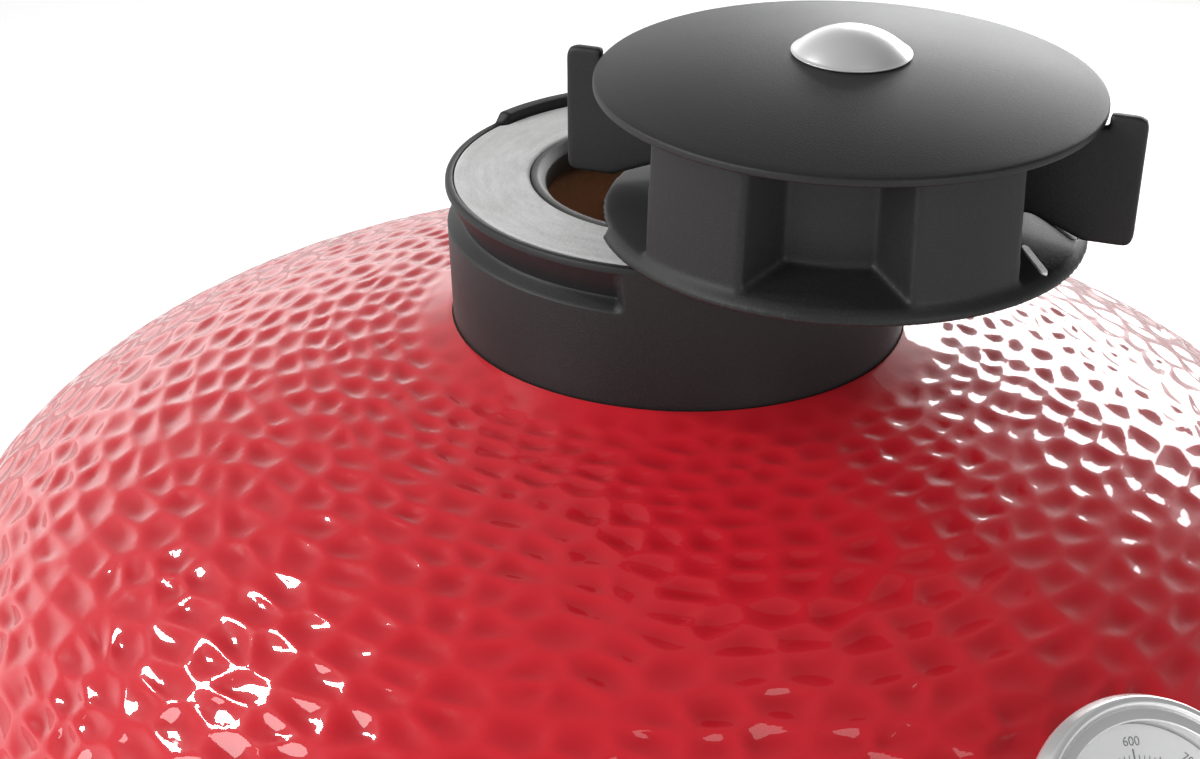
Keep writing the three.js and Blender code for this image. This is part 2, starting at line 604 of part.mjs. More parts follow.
/** Half of the drum's wall in plan: pillar, pocket, pillar, returned inwards at both ends. */
function drumWall(bearing) {
  const { outerHalf, innerHalf, floorRadius, spanHalf } = POCKET;
  const r = TOWER.drumRadius;
  const thick = 3.5;
  const arc = (radius, from, to, count) => steps(from, to, count).map((b) => polar(radius, bearing + b));
  const skin = 2.8; // degrees that a wall's thickness takes up at the drum's radius
  const outside = [
    polar(floorRadius - 3, bearing - spanHalf),
    ...arc(r, -spanHalf, -outerHalf, 5),
    ...arc(floorRadius, -innerHalf, innerHalf, 3),
    ...arc(r, outerHalf, spanHalf, 5),
    polar(floorRadius - 3, bearing + spanHalf),
  ];
  const inside = [
    polar(floorRadius - 3, bearing + spanHalf - 3.6),
    ...arc(r - thick, spanHalf - skin, outerHalf + skin, 4),
    ...arc(floorRadius - 3, innerHalf + 2.6, -innerHalf - 2.6, 3),
    ...arc(r - thick, -outerHalf - skin, -spanHalf + skin, 4),
    polar(floorRadius - 3, bearing - spanHalf + 3.6),
  ];
  const lowZ = 8.5;
  const highZ = 10.5 + TOWER.drumHeight;
  const wall = bare(slab([...outside, ...inside], lowZ, highZ));
  // Casting draft: the wall leans in towards its top.
  const p = wall.attributes.position;
  for (let i = 0; i < p.count; i++) {
    const lean = 1 - (TOWER.draft / r) * ((p.getZ(i) - lowZ) / (highZ - lowZ));
    p.setXY(i, p.getX(i) * lean, p.getY(i) * lean);
  }
  return wall;
}

function towerBody() {
  const { rimRadius, deckRadius } = TOWER;
  // A sloping deck with a thin rim, on a foot that stands on the felt when the tower is closed.
  const flange = revolve([[46, 8], [46, 14], [57, 14], [deckRadius, 9], [rimRadius, 6.6], [rimRadius, 4.4],
    [rimRadius - 3, 4.4], [67, 5.4], [66, 0.6], [62, 0.6], [61, 8]]);
  const notch = sector(60, 90, 180 - 24.5, 180 + 24.5, -2, 7.2);
  const spokes = [0, 90].map((b) => box([-50, -4, 8], [50, 4, 12]).rotateZ(radians(b + 45)));
  const hub = post(9, 8, 13, [0, 0], 16);
  const [px, py] = polar(PIVOT.reach, PIVOT.bearing);
  const ear = join(pivotArm(rimRadius - 3, 15, 0.6, 8), post(PIVOT.boss, 0.6, 8, [px, py]));
  const pivotHole = post(PIVOT.boltRadius + GAP, -20, 30, [px, py], 16);
  const boltHole = post(4.3, -20, 80, [0, 0], 16);
  const walls = [0, 180].map((turn) => drumWall(POCKET.bearing + turn));
  return cut(join(cut(flange, notch), ...spokes, hub, ear, ...walls), pivotHole, boltHole);
}

const pivotBolt = () => {
  const at = polar(PIVOT.reach, PIVOT.bearing);
  return join(post(PIVOT.boltRadius, -24, 9, at, 16), post(8, 8.3, 13, at, 6));
};
const pivotNut = () => {
  const at = polar(PIVOT.reach, PIVOT.bearing);
  return cut(post(8, -22.6, -16.3, at, 6), post(PIVOT.boltRadius + GAP, -60, 20, at, 16));
};

/** The tab plate in radius and height: notched under the cap's rim and over the deck's edge. */
const TAB_OUTLINE = [[49, 17], [73.5, 17], [77.4, 12.4], [79, 10.6], [87.6, 10.6], [90, 13], [91, 49],
  [88.4, 52], [79.4, 52], [79.4, 47.6], [49, 47.6]];

function damper() {
  const { radius, wall, tabThickness } = DAMPER;
  const side = [[radius - wall, 14.6], [radius, 14.6], [radius, 45], [radius - wall, 45]];
  const sleeve = revolve(side, SMALL_TURNS);
  const windows = [38, 142, 218, 322].map((b) => sector(30, 60, b - 17, b + 17, 18, 41, 6));
  const spokes = [0, 90].map((b) => box([-49, -4, 41], [49, 4, 45]).rotateZ(radians(b)));
  const hub = post(10, 38, 45, [0, 0], 16);
  const tab = (turn) => {
    const plate = new THREE.Shape(TAB_OUTLINE.map(([r, z]) => new THREE.Vector2(r, z)));
    return new THREE.ExtrudeGeometry(plate, { depth: tabThickness, bevelEnabled: false })
      .translate(0, 0, -tabThickness / 2)
      .rotateX(Math.PI / 2)
      .rotateZ(radians(turn - 90));
  };
  const body = join(cut(sleeve, ...windows), ...spokes, hub, tab(0), tab(180));
  return cut(body, post(4.3, 0, 90, [0, 0], 16)).rotateZ(radians(DAMPER.bearing));
}

const towerCap = () => {
  const { radius, undersideZ, rimZ, crownZ, nutRadius } = CAP;
  return revolve([[4.4, crownZ - 4], [40, crownZ - 8], [52, undersideZ], [radius, undersideZ],
    [radius, rimZ], [60, rimZ + 3.2], [40, rimZ + 6.4], [nutRadius, crownZ], [4.4, crownZ]]);
};

const capNut = () => {
  const { nutRadius: r, nutHeight } = CAP;
  const sphere = (r ** 2 + nutHeight ** 2) / (2 * nutHeight);
  const base = CAP.crownZ + GAP;
  const crown = steps(0, Math.asin(r / sphere), 4).map((a) => {
    return [sphere * Math.sin(a), base + nutHeight - sphere * (1 - Math.cos(a))];
  });
  return cut(revolve([...crown, [0, base]], SMALL_TURNS), post(4.3, 0, base + 4, [0, 0], 16));
};

const towerBolt = () => join(post(4, 3, CAP.crownZ + 3, [0, 0], 16), post(8, 3, 7.7, [0, 0], 6));

// ---- Assembly ----
const grill = new THREE.Group();
grill.name = "kamado_grill";

grill.add(
  part("bowl_shell", bowlShell(), glaze),
  ...[0, 120, 240].map((bearing, i) => part(`foot_${i + 1}`, foot(bearing + 60), fireClay)),
  part("bowl_gasket", gasket(RIM_Z + GAP), felt),
  part("firebox_base", fireboxBase(), fireClay),
  part("firebox_wall", fireboxWall(), fireClay),
  part("fire_ring", fireRing(), fireClay),
  part("charcoal_grate", charcoalGrate(), castIron),
  part("cooking_rack", cookingRack(), steel),
  part("deflector_left", deflector(-1), fireClay),
  part("deflector_right", deflector(1), fireClay),
  part("cooking_grate_left", cookingGrate(-1), steel),
  part("cooking_grate_right", cookingGrate(1), steel),
  part("lower_band", clampBand(LOWER_BAND_Z), steel),
  part("lower_band_bolt", clampBolt(LOWER_BAND_Z), steel),
  part("lower_band_nut", clampNut(LOWER_BAND_Z), steel),
  part("hinge_base_bracket", hingeBaseBracket(), steel),
  part("hinge_pin", hingePin(), steel),
  part("torsion_spring_left", torsionSpring(-1), steel),
  part("torsion_spring_right", torsionSpring(1), steel),
  part("hinge_nut_lower_left", acornNut(-1, LOWER_BAND_Z), steel),
  part("hinge_nut_lower_right", acornNut(1, LOWER_BAND_Z), steel),
  part("latch_keeper", latchKeeper(), steel),
  part("draft_frame", draftFrame(), steel),
  part("ash_drawer", ashDrawer(), steel),
  part("ember_screen", emberScreen(), steel),
  part("draft_door", draftDoor(), steel),
  part("draft_knob", draftKnob(), blackPolymer),
);

grill.add(
  part("dome_shell", domeShell(), glaze),
  part("dome_gasket", gasket(RIM_Z + 2 * GAP + GASKET.height), felt),
  part("upper_band", clampBand(UPPER_BAND_Z), steel),
  part("upper_band_bolt", clampBolt(UPPER_BAND_Z), steel),
  part("upper_band_nut", clampNut(UPPER_BAND_Z), steel),
  part("hinge_dome_bracket", hingeDomeBracket(), steel),
  part("hinge_nut_upper_left", acornNut(-1, UPPER_BAND_Z), steel),
  part("hinge_nut_upper_right", acornNut(1, UPPER_BAND_Z), steel),
  part("handle_grip", handleGrip(), blackPolymer),
  part("handle_arm_left", handleArm(-1), steel),
  part("handle_arm_right", handleArm(1), steel),
  part("latch_bracket", latchBracket(), steel),
  part("latch_pin", latchPin(), steel),
  part("latch_lever", latchLever(), steel),
  part("gauge_case", gaugeCase(), steel),
  part("gauge_dial", gaugeDial(), dialWhite),
  part("gauge_needle", gaugeNeedle(), needleRed),
  part("gauge_lens", gaugeLens(), glass),
  part("gauge_stem", gaugeStem(), steel),
  part("gauge_nut", gaugeNut(), steel),
);

// The vent ring sits over the chimney neck. The tower turns about the pivot bolt and stands open.
const vent = new THREE.Group();
vent.position.z = RING.topZ;
vent.add(
  part("vent_ring", ventRing(), castBlack),
  part("vent_felt", ventFelt(), felt),
  part("neck_sleeve", neckSleeve(), felt),
  part("vent_pivot_bolt", pivotBolt(), steel),
  part("vent_pivot_nut", pivotNut(), steel),
);
const [pivotX, pivotY] = polar(PIVOT.reach, PIVOT.bearing);
const swing = new THREE.Group();
swing.position.set(pivotX, pivotY, 0);
swing.rotation.z = radians(TOWER_OPEN);
const tower = new THREE.Group();
tower.position.set(-pivotX, -pivotY, 0);
tower.add(
  part("tower_body", towerBody(), castBlack),
  part("damper", damper(), castBlack),
  part("tower_cap", towerCap(), castBlack),
  part("cap_nut", capNut(), chrome),
  part("tower_bolt", towerBolt(), steel),
);
swing.add(tower);
vent.add(swing);
grill.add(vent);

export default grill;
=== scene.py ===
"""The looks of a kamado ceramic grill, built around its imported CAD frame.

Metres, +Z up, the front towards -Y, the origin on the ground under the dome's axis. A bearing is an angle
about an upright axis in degrees: 0 is the front and positive turns towards +X. Outlines are written in
millimetres as (radius, height) or (x, y), with a fillet radius after them where a corner is rounded, and are
scaled by MM where they become meshes.
"""

import json
import math

import bmesh
import bpy
import numpy as np
from mathutils import Matrix, Vector, kdtree


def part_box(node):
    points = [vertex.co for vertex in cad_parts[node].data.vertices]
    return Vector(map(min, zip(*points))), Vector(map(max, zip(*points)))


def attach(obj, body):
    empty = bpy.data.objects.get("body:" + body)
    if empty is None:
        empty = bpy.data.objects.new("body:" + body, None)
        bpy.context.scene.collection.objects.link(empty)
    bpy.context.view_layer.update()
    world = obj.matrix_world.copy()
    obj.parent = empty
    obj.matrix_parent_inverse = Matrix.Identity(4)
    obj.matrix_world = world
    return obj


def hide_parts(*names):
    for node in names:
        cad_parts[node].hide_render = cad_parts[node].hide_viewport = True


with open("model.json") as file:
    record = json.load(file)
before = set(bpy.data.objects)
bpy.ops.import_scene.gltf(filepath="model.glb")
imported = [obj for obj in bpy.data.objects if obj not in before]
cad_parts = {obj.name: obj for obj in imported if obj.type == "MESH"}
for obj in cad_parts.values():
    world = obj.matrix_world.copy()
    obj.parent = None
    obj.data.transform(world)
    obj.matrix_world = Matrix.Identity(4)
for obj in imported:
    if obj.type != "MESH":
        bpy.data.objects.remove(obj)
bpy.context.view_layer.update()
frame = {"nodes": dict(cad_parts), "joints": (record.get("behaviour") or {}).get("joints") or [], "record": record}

MM = 0.001
JOINTS = {j["name"]: j for j in frame["joints"]}
BODIES = frame["record"]["behaviour"]["bodies"]
BODY_OF = {node: body for body, nodes in BODIES.items() for node in nodes}
SCENE = bpy.context.scene
SCENE.view_settings.view_transform = "Standard"


def low(node):
    """The lowest corner of a CAD node's box, in millimetres."""
    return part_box(node)[0] / MM


def high(node):
    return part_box(node)[1] / MM


def between(node):
    """The x, y and z of the middle of a CAD node's box."""
    return [(a + b) / 2 for a, b in zip(low(node), high(node))]


# ---- Driving sizes, in millimetres ----
BODY_RADIUS = high("dome_shell").x
DOME_BASE = low("dome_shell").z
BOWL_FLOOR = low("bowl_shell").z
BOWL_RIM = high("bowl_shell").z
SHOULDER_Z = 483.0
DOME_RISE = 127.7
DOME_WALL = 25.0
BOWL_WALL = 28.0
BOWL_WAIST, BOWL_DEPTH, BOWL_POWER = 300.0, 268.0, 2.7  # the bowl is a superellipse below its waist
CAD_LIP = 5.0  # how far the CAD's raised lip stands above its ring
RING_TOP = high("vent_ring").z - CAD_LIP
RING_FOOT_RADIUS, RING_TOP_RADIUS, RING_HOLE = 75.8, 78.3, 45.0
PIVOT_AXIS, PIN_AXIS, GAUGE_CENTRE = (
    Vector(JOINTS[name]["pos_m"]) / MM for name in ("tower_swing", "dome_hinge", "needle_turn")
)
TOWER_TURN = 46.0  # degrees that the tower stands open
GAUGE_TILT = 45.0


def linked(name, data):
    """A new object in the scene."""
    item = bpy.data.objects.new(name, data)
    SCENE.collection.objects.link(item)
    return item


# ---- Camera, light and floor ----
CAMERA_PLACE = (-0.4449, -0.6631, 0.9807)
CAMERA_AIM = (0.4735, 0.7577, -0.4491)  # a direction
CAMERA_ROLL = 1.07  # degrees
LIGHT_AIM = (0, 0, 0.58)


def make_camera():
    """Stands at the front left of the grill, close to the dome, and looks down at the vent."""
    data = bpy.data.cameras.new("camera")
    data.lens, data.sensor_width = 78.0, 36.0
    data.clip_start = 0.01
    camera = linked("camera", data)
    turn = Vector(CAMERA_AIM).to_track_quat("-Z", "Y").to_matrix().to_4x4()
    roll = Matrix.Rotation(math.radians(CAMERA_ROLL), 4, "Z")
    camera.matrix_world = Matrix.Translation(CAMERA_PLACE) @ turn @ roll
    SCENE.camera = camera


def area_light(name, place, size, power):
    """A panel of a size in metres and a power in watts, turned to the grill's shoulder."""
    data = bpy.data.lights.new(name, "AREA")
    data.shape = "RECTANGLE"
    data.size, data.size_y = size
    data.energy = power
    light = linked(name, data)
    light.location = place
    light.rotation_euler = (Vector(LIGHT_AIM) - Vector(place)).to_track_quat("-Z", "Y").to_euler()


def make_sky():
    """White low down, brightest behind the grill, and a dim grey overhead that leaves the glaze its depth."""
    world = bpy.data.worlds.new("studio")
    world.use_nodes = True
    tree = world.node_tree
    place = tree.nodes.new("ShaderNodeTexCoord")
    split = tree.nodes.new("ShaderNodeSeparateXYZ")
    tree.links.new(place.outputs["Generated"], split.inputs[0])
    height = tree.nodes.new("ShaderNodeValToRGB")
    stops = ((0.0, 1.0), (0.18, 0.95), (0.42, 0.3), (0.75, 0.18))
    while len(height.color_ramp.elements) < len(stops):
        height.color_ramp.elements.new(0.5)
    for element, (position, grey) in zip(height.color_ramp.elements, stops):
        element.position = position
        element.color = (grey, grey, grey, 1)
    behind = tree.nodes.new("ShaderNodeMapRange")
    for key, number in zip(("From Min", "From Max", "To Min", "To Max"), (-0.3, 0.9, 0.6, 1.7)):
        behind.inputs[key].default_value = number
    tree.links.new(split.outputs["Z"], height.inputs["Fac"])
    tree.links.new(split.outputs["Y"], behind.inputs["Value"])
    tree.links.new(height.outputs["Color"], tree.nodes["Background"].inputs["Color"])
    tree.links.new(behind.outputs["Result"], tree.nodes["Background"].inputs["Strength"])
    SCENE.world = world


def from_bearing(bearing, height, reach):
    """A place in metres, at a bearing, an angle up and a reach from a point inside the dome."""
    a, up = math.radians(bearing), math.radians(height)
    middle = 0.55
    return (
        reach * math.sin(a) * math.cos(up),
        -reach * math.cos(a) * math.cos(up),
        middle + reach * math.sin(up),
    )


def make_studio():
    """White surroundings, five light panels and a white floor."""
    make_sky()
    area_light("softbox_right", from_bearing(124, 15, 2.2), (1.5, 0.8), 25)
    area_light("softbox_left", from_bearing(-92, 26, 2.2), (1.3, 1.3), 32)
    area_light("softbox_front", from_bearing(-8, 52, 2.3), (1.2, 0.9), 6)
    area_light("softbox_low", from_bearing(2, 14, 2.2), (0.9, 0.7), 8)
    area_light("window", from_bearing(-131, 43, 2.05), (0.22, 0.32), 12)
    mesh = bpy.data.meshes.new("floor")
    reach = 30.0
    corners = [(-reach, -reach, 0), (reach, -reach, 0), (reach, reach, 0), (-reach, reach, 0)]
    mesh.from_pydata(corners, [], [(0, 1, 2, 3)])
    floor = linked("floor", mesh)
    material = bpy.data.materials.new("floor")
    material.use_nodes = True
    shader = material.node_tree.nodes["Principled BSDF"]
    shader.inputs["Base Color"].default_value = (0.8, 0.8, 0.8, 1)
    shader.inputs["Roughness"].default_value = 0.9
    shader.inputs["Emission Color"].default_value = (1, 1, 1, 1)
    shader.inputs["Emission Strength"].default_value = 0.46
    mesh.materials.append(material)


make_camera()
make_studio()


# ---- Materials ----
class Nodes:
    """A material's node tree, with one short call for each node."""

    def __init__(self, name, **sockets):
        self.material = bpy.data.materials.new(name)
        self.material.use_nodes = True
        self.tree = self.material.node_tree
        self.shader = self.tree.nodes["Principled BSDF"]
        for socket, value in sockets.items():
            self.shader.inputs[socket.replace("_", " ").title().replace("Ior", "IOR")].default_value = value

    def add(self, kind, settings=None, **inputs):
        """A node of a kind. An input is a value or another node's output socket."""
        node = self.tree.nodes.new(kind)
        for key, value in (settings or {}).items():
            setattr(node, key, value)
        for key, value in inputs.items():
            self.feed(node.inputs[key.replace("_", " ")], value)
        return node

    def feed(self, socket, value):
        if isinstance(value, bpy.types.NodeSocket):
            self.tree.links.new(value, socket)
        else:
            socket.default_value = value

    def place(self):
        return self.add("ShaderNodeTexCoord").outputs["Object"]

    def noise(self, scale, detail=4.0, rough=0.55, vector=None, stretch=None):
        vector = vector or self.place()
        if stretch:
            vector = self.add("ShaderNodeMapping", Vector=vector, Scale=stretch).outputs["Vector"]
        return self.add(
            "ShaderNodeTexNoise", Vector=vector, Scale=scale, Detail=detail, Roughness=rough
        ).outputs["Fac"]

    def cells(self, scale):
        node = self.add("ShaderNodeTexVoronoi", {"feature": "F1"}, Vector=self.place(), Scale=scale)
        return node.outputs["Distance"]

    def ramp(self, value, *stops):
        """A colour ramp from (position, colour) stops; a plain number stands for a grey."""
        node = self.add("ShaderNodeValToRGB", Fac=value)
        elements = node.color_ramp.elements
        while len(elements) < len(stops):
            elements.new(0.5)
        for element, (position, color) in zip(elements, stops):
            element.position = position
            grey = isinstance(color, (int, float))
            element.color = (color, color, color, 1) if grey else (*color, 1)
        return node.outputs["Color"]

    def spread(self, value, low_value, high_value, start=0.0, end=1.0):
        """Maps start..end onto low_value..high_value."""
        span = {"From_Min": start, "From_Max": end, "To_Min": low_value, "To_Max": high_value}
        return self.add("ShaderNodeMapRange", Value=value, **span).outputs["Result"]

    def mix(self, share, first, second):
        node = self.add("ShaderNodeMix", {"data_type": "RGBA", "blend_type": "MIX"})
        colors = [s for s in node.inputs if s.type == "RGBA"]
        self.feed(node.inputs[0], share)
        for socket, value in zip(colors, (first, second)):
            plain = not isinstance(value, bpy.types.NodeSocket)
            self.feed(socket, (*value, 1) if plain and len(value) == 3 else value)
        return [s for s in node.outputs if s.type == "RGBA"][0]

    def math(self, operation, first, second=0.0):
        node = self.add("ShaderNodeMath", {"operation": operation})
        self.feed(node.inputs[0], first)
        self.feed(node.inputs[1], second)
        return node.outputs[0]

    def bump(self, height, distance, strength=1.0, under=None):
        node = self.add("ShaderNodeBump", Height=height, Strength=strength, Distance=distance)
        if under:
            self.feed(node.inputs["Normal"], under)
        return node.outputs["Normal"]

    def surface(self, color=None, roughness=None, normal=None):
        for key, value in (("Base Color", color), ("Roughness", roughness), ("Normal", normal)):
            if value is not None:
                self.feed(self.shader.inputs[key], value)
        return self.material


def red_glaze():
    """Deep red glaze, painted darker in the pits as shade, with a faint orange peel under a clear coat."""
    coat = {"coat_weight": 1.0, "coat_roughness": 0.03, "coat_ior": 1.55}
    n = Nodes("red_glaze", roughness=0.32, specular_ior_level=0.12, **coat)
    pit = n.add("ShaderNodeAttribute", {"attribute_name": "pit"}).outputs["Fac"]
    cloud = n.noise(9.0, 3.0)
    # painted shade: the ramp darkens the red by how deep each point lies in its pit
    shade = n.ramp(pit, (0.0, (0.56, 0.016, 0.026)), (1.0, (0.40, 0.007, 0.014)))
    color = n.mix(n.spread(cloud, 0.0, 0.35, 0.35, 0.7), shade, (0.54, 0.008, 0.018))
    grain = n.noise(420.0, 2.0)
    peel = n.bump(n.noise(95.0, 2.0), 0.0004, 0.35)
    return n.surface(color, n.spread(grain, 0.28, 0.38), n.bump(grain, 0.0001, 0.2, peel))


def powder_black():
    """Black powder coat on a casting: fine pebbled grain with a soft sheen."""
    tint = 0.010
    n = Nodes("powder_black", roughness=0.5, specular_ior_level=0.34)
    grain = n.noise(1500.0, 3.0, 0.7)
    pebble = n.cells(2200.0)
    wear = n.noise(14.0, 5.0)
    dark = (tint, tint, tint * 1.06)
    light = (tint * 2.2, tint * 2.2, tint * 2.3)
    color = n.mix(n.spread(grain, 0.0, 0.75, 0.45, 0.75), dark, light)
    roughness = n.math("ADD", n.spread(grain, 0.40, 0.56), n.spread(wear, -0.04, 0.05))
    normal = n.bump(pebble, 0.00012, 0.35, n.bump(grain, 0.0001, 0.3))
    return n.surface(color, roughness, normal)


def felt(name, tone, round_streaks=False):
    """Pressed fibre. Its streaks can run round the dome's axis."""
    n = Nodes(name, roughness=0.95, sheen_weight=0.35, sheen_roughness=0.5)
    place = n.place()
    vector = place
    if round_streaks:
        split = n.add("ShaderNodeSeparateXYZ", Vector=place)
        radius = n.add("ShaderNodeVectorMath", {"operation": "LENGTH"})
        flat = n.add("ShaderNodeCombineXYZ", X=split.outputs["X"], Y=split.outputs["Y"])
        n.feed(radius.inputs[0], flat.outputs["Vector"])
        angle = n.math("ARCTAN2", split.outputs["Y"], split.outputs["X"])
        along = n.math("MULTIPLY", angle, 0.016)
        vector = n.add("ShaderNodeCombineXYZ", X=along, Y=radius.outputs["Value"]).outputs["Vector"]
    streak = n.noise(260.0, 5.0, 0.65, vector)
    fibre = n.noise(900.0, 4.0, 0.7, place)
    stain = n.noise(24.0, 4.0, 0.6, place)
    color = n.ramp(streak, (0.25, tone * 0.78), (0.5, tone), (0.75, tone * 1.22))
    color = n.mix(n.spread(fibre, 0.0, 0.35, 0.4, 0.7), color, (tone * 1.3, tone * 1.3, tone * 1.28))
    color = n.mix(n.spread(stain, 0.0, 0.4, 0.5, 0.75), color, (tone * 0.72, tone * 0.7, tone * 0.66))
    return n.surface(color, None, n.bump(fibre, 0.0006, 0.6, n.bump(streak, 0.0004, 0.5)))


def brushed_steel(name, stretch, tone, rough):
    """Stainless sheet with a brushed grain; stretch is largest across the grain."""
    n = Nodes(name, metallic=1.0, roughness=rough, anisotropic=0.4)
    lines = n.noise(38.0, 6.0, 0.7, stretch=stretch)
    smudge = n.noise(9.0, 3.0)
    dark = (tone * 0.86, tone * 0.85, tone * 0.83)
    light = (tone * 1.1, tone * 1.09, tone * 1.07)
    color = n.ramp(lines, (0.3, dark), (0.7, light))
    roughness = n.math("ADD", n.spread(lines, rough - 0.07, rough + 0.09), n.spread(smudge, -0.03, 0.05))
    return n.surface(color, roughness, n.bump(lines, 0.00012, 0.35))


def satin(name, tone, rough):
    """Satin plating, hazed with handling."""
    n = Nodes(name, metallic=0.6, roughness=rough)
    haze = n.noise(30.0, 4.0)
    color = n.ramp(haze, (0.0, tone - 0.04), (1.0, tone + 0.04))
    return n.surface(color, n.spread(haze, rough - 0.04, rough + 0.04))


def fire_clay(name, tone, soot):
    """Raw refractory: sandy, pitted and a little sooty."""
    dark, light, pit = (tuple(min(1, c * share) for c in tone) for share in (0.82, 1.16, 0.45))
    n = Nodes(name, roughness=0.9)
    sand = n.noise(650.0, 4.0, 0.7)
    blotch = n.noise(12.0, 5.0)
    specks = n.cells(260.0)
    color = n.mix(n.spread(sand, 0.0, 1.0, 0.3, 0.7), dark, light)
    color = n.mix(n.spread(specks, 0.5, 0.0, 0.05, 0.16), color, pit)
    color = n.mix(n.spread(blotch, 0.0, soot, 0.42, 0.75), color, (0.035, 0.028, 0.022))
    normal = n.bump(sand, 0.0006, 0.6, n.bump(specks, 0.0006, 0.35))
    return n.surface(color, n.spread(sand, 0.8, 0.97), normal)


def smoked_ceramic():
    """The dome's inside: browned by smoke, darker in drifts, its browns set light overall as painted light for the
    dim flue.
    """
    n = Nodes("smoked_ceramic", roughness=0.7)
    drift = n.noise(10.0, 6.0, 0.6)
    sand = n.noise(500.0, 3.0, 0.7)
    # painted light: these browns are set lighter than smoked clay, to make up for the little light that reaches
    # down the flue
    color = n.ramp(drift, (0.3, (0.80, 0.50, 0.31)), (0.55, (0.66, 0.38, 0.23)), (0.8, (0.34, 0.19, 0.11)))
    color = n.mix(n.spread(sand, 0.0, 0.5, 0.4, 0.7), color, (0.82, 0.54, 0.35))
    return n.surface(color, n.spread(drift, 0.55, 0.8), n.bump(sand, 0.0004, 0.5))


def cast_iron():
    n = Nodes("cast_iron", metallic=0.6, roughness=0.7)
    sand = n.noise(420.0, 5.0, 0.7)
    rust = n.noise(18.0, 6.0, 0.65)
    color = n.mix(n.spread(rust, 0.0, 0.6, 0.52, 0.8), (0.035, 0.034, 0.033), (0.12, 0.055, 0.03))
    return n.surface(color, n.spread(sand, 0.55, 0.85), n.bump(sand, 0.0006, 0.7))


def black_grip():
    """Moulded black polymer with a fine leathery grain."""
    n = Nodes("black_grip", roughness=0.45, specular_ior_level=0.5)
    grain = n.cells(620.0)
    handled = n.noise(22.0, 3.0)
    color = n.ramp(handled, (0.3, 0.012), (0.7, 0.02))
    return n.surface(color, n.spread(handled, 0.36, 0.52), n.bump(grain, 0.00025, 0.5))


def dial_paint():
    """Pale metal dial with a fine radial sheen."""
    n = Nodes("dial_paint", roughness=0.42)
    grain = n.noise(700.0, 3.0)
    color = n.ramp(grain, (0.2, 0.88), (0.8, 0.94))
    return n.surface(color, n.spread(grain, 0.36, 0.5), n.bump(grain, 0.00004, 0.3))


def ink(name, color):
    n = Nodes(name, roughness=0.5)
    grain = n.noise(900.0, 2.0)
    return n.surface(n.mix(grain, color, tuple(c * 1.35 + 0.01 for c in color)), n.spread(grain, 0.42, 0.6))


def lens_glass():
    n = Nodes("lens_glass", roughness=0.0, alpha=0.12)
    n.surface((0.98, 0.99, 0.99, 1))
    smear = n.noise(60.0, 3.0)
    return n.surface(None, n.spread(smear, 0.0, 0.02))


def spring_steel():
    n = Nodes("spring_steel", metallic=1.0, roughness=0.3)
    mottle = n.noise(160.0, 4.0)
    color = n.ramp(mottle, (0.3, (0.20, 0.20, 0.21)), (0.7, (0.34, 0.34, 0.34)))
    return n.surface(color, n.spread(mottle, 0.25, 0.4), n.bump(mottle, 0.0001, 0.3))


RED = red_glaze()
BLACK = powder_black()
STEEL = brushed_steel("brushed_steel", (1, 1, 40), 0.56, 0.3)
BAND_STEEL = brushed_steel("band_steel", (1, 1, 60), 0.58, 0.27)
PLATE_STEEL = brushed_steel("plate_steel", (1, 1, 50), 0.52, 0.32)
WIRE_STEEL = brushed_steel("wire_steel", (6, 6, 6), 0.5, 0.26)
CHROME = satin("chrome", 0.74, 0.3)
RING_FELT = felt("ring_felt", 0.50, True)
# painted highlight: the slot felt's near-white tone stands in for the bright glaze seen through the flange's
# slots, lighter than felt in the cap's shade
SLOT_FELT_HIGHLIGHT = felt("slot_felt_highlight", 0.9)
RIM_FELT = felt("rim_felt", 0.34, True)
CLAY = fire_clay("fire_clay", (0.50, 0.36, 0.25), 0.35)
PALE_CLAY = fire_clay("pale_clay", (0.60, 0.47, 0.35), 0.2)
SMOKED = smoked_ceramic()
IRON = cast_iron()
GRIP = black_grip()
DIAL = dial_paint()
INK = ink("dial_ink", (0.05, 0.05, 0.055))
NEEDLE = ink("needle_paint", (0.42, 0.015, 0.015))
GLASS = lens_glass()
SPRING = spring_steel()
GAUGE_STEEL = satin("gauge_steel", 0.86, 0.22)


# ---- Mesh helpers ----
def rounded(outline, steps=4):
    """Rounds the corners of a closed outline. Each point is (a, b) or (a, b, fillet radius)."""
    result = []
    count = len(outline)
    for i, point in enumerate(outline):
        here = Vector(point[:2])
        fillet = point[2] if len(point) > 2 else 0
        if not fillet:
            result.append(here)
            continue
        back = Vector(outline[i - 1][:2]) - here
        ahead = Vector(outline[(i + 1) % count][:2]) - here
        half = back.angle(ahead, math.pi) / 2
        reach = min(fillet / max(math.tan(half), 1e-6), back.length * 0.49, ahead.length * 0.49)
        start = here + back.normalized() * reach
        end = here + ahead.normalized() * reach
        for k in range(steps + 1):
            t = k / steps
            result.append(start * (1 - t) ** 2 + here * 2 * t * (1 - t) + end * t**2)
    return [tuple(p) for p in result]


def shade(mesh, sharp=None):
    """Smooth shading. sharp is the angle between faces, in degrees, past which it breaks."""
    mesh.polygons.foreach_set("use_smooth", [True] * len(mesh.polygons))
    if sharp:
        mesh.set_sharp_from_angle(angle=math.radians(sharp))


def make_object(name, vertices, faces, material, sharp=40.0):
    """A mesh object from millimetre vertices."""
    mesh = bpy.data.meshes.new(name)
    mesh.from_pydata([tuple(c * MM for c in v) for v in vertices], [], faces)
    return place_mesh(name, mesh, material, sharp)


def place_mesh(name, mesh, material, sharp=40.0):
    mesh.validate()
    mesh.materials.clear()
    for each in material if isinstance(material, (list, tuple)) else [material]:
        mesh.materials.append(each)
    shade(mesh, sharp)
    mesh.name = name
    return linked(name, mesh)


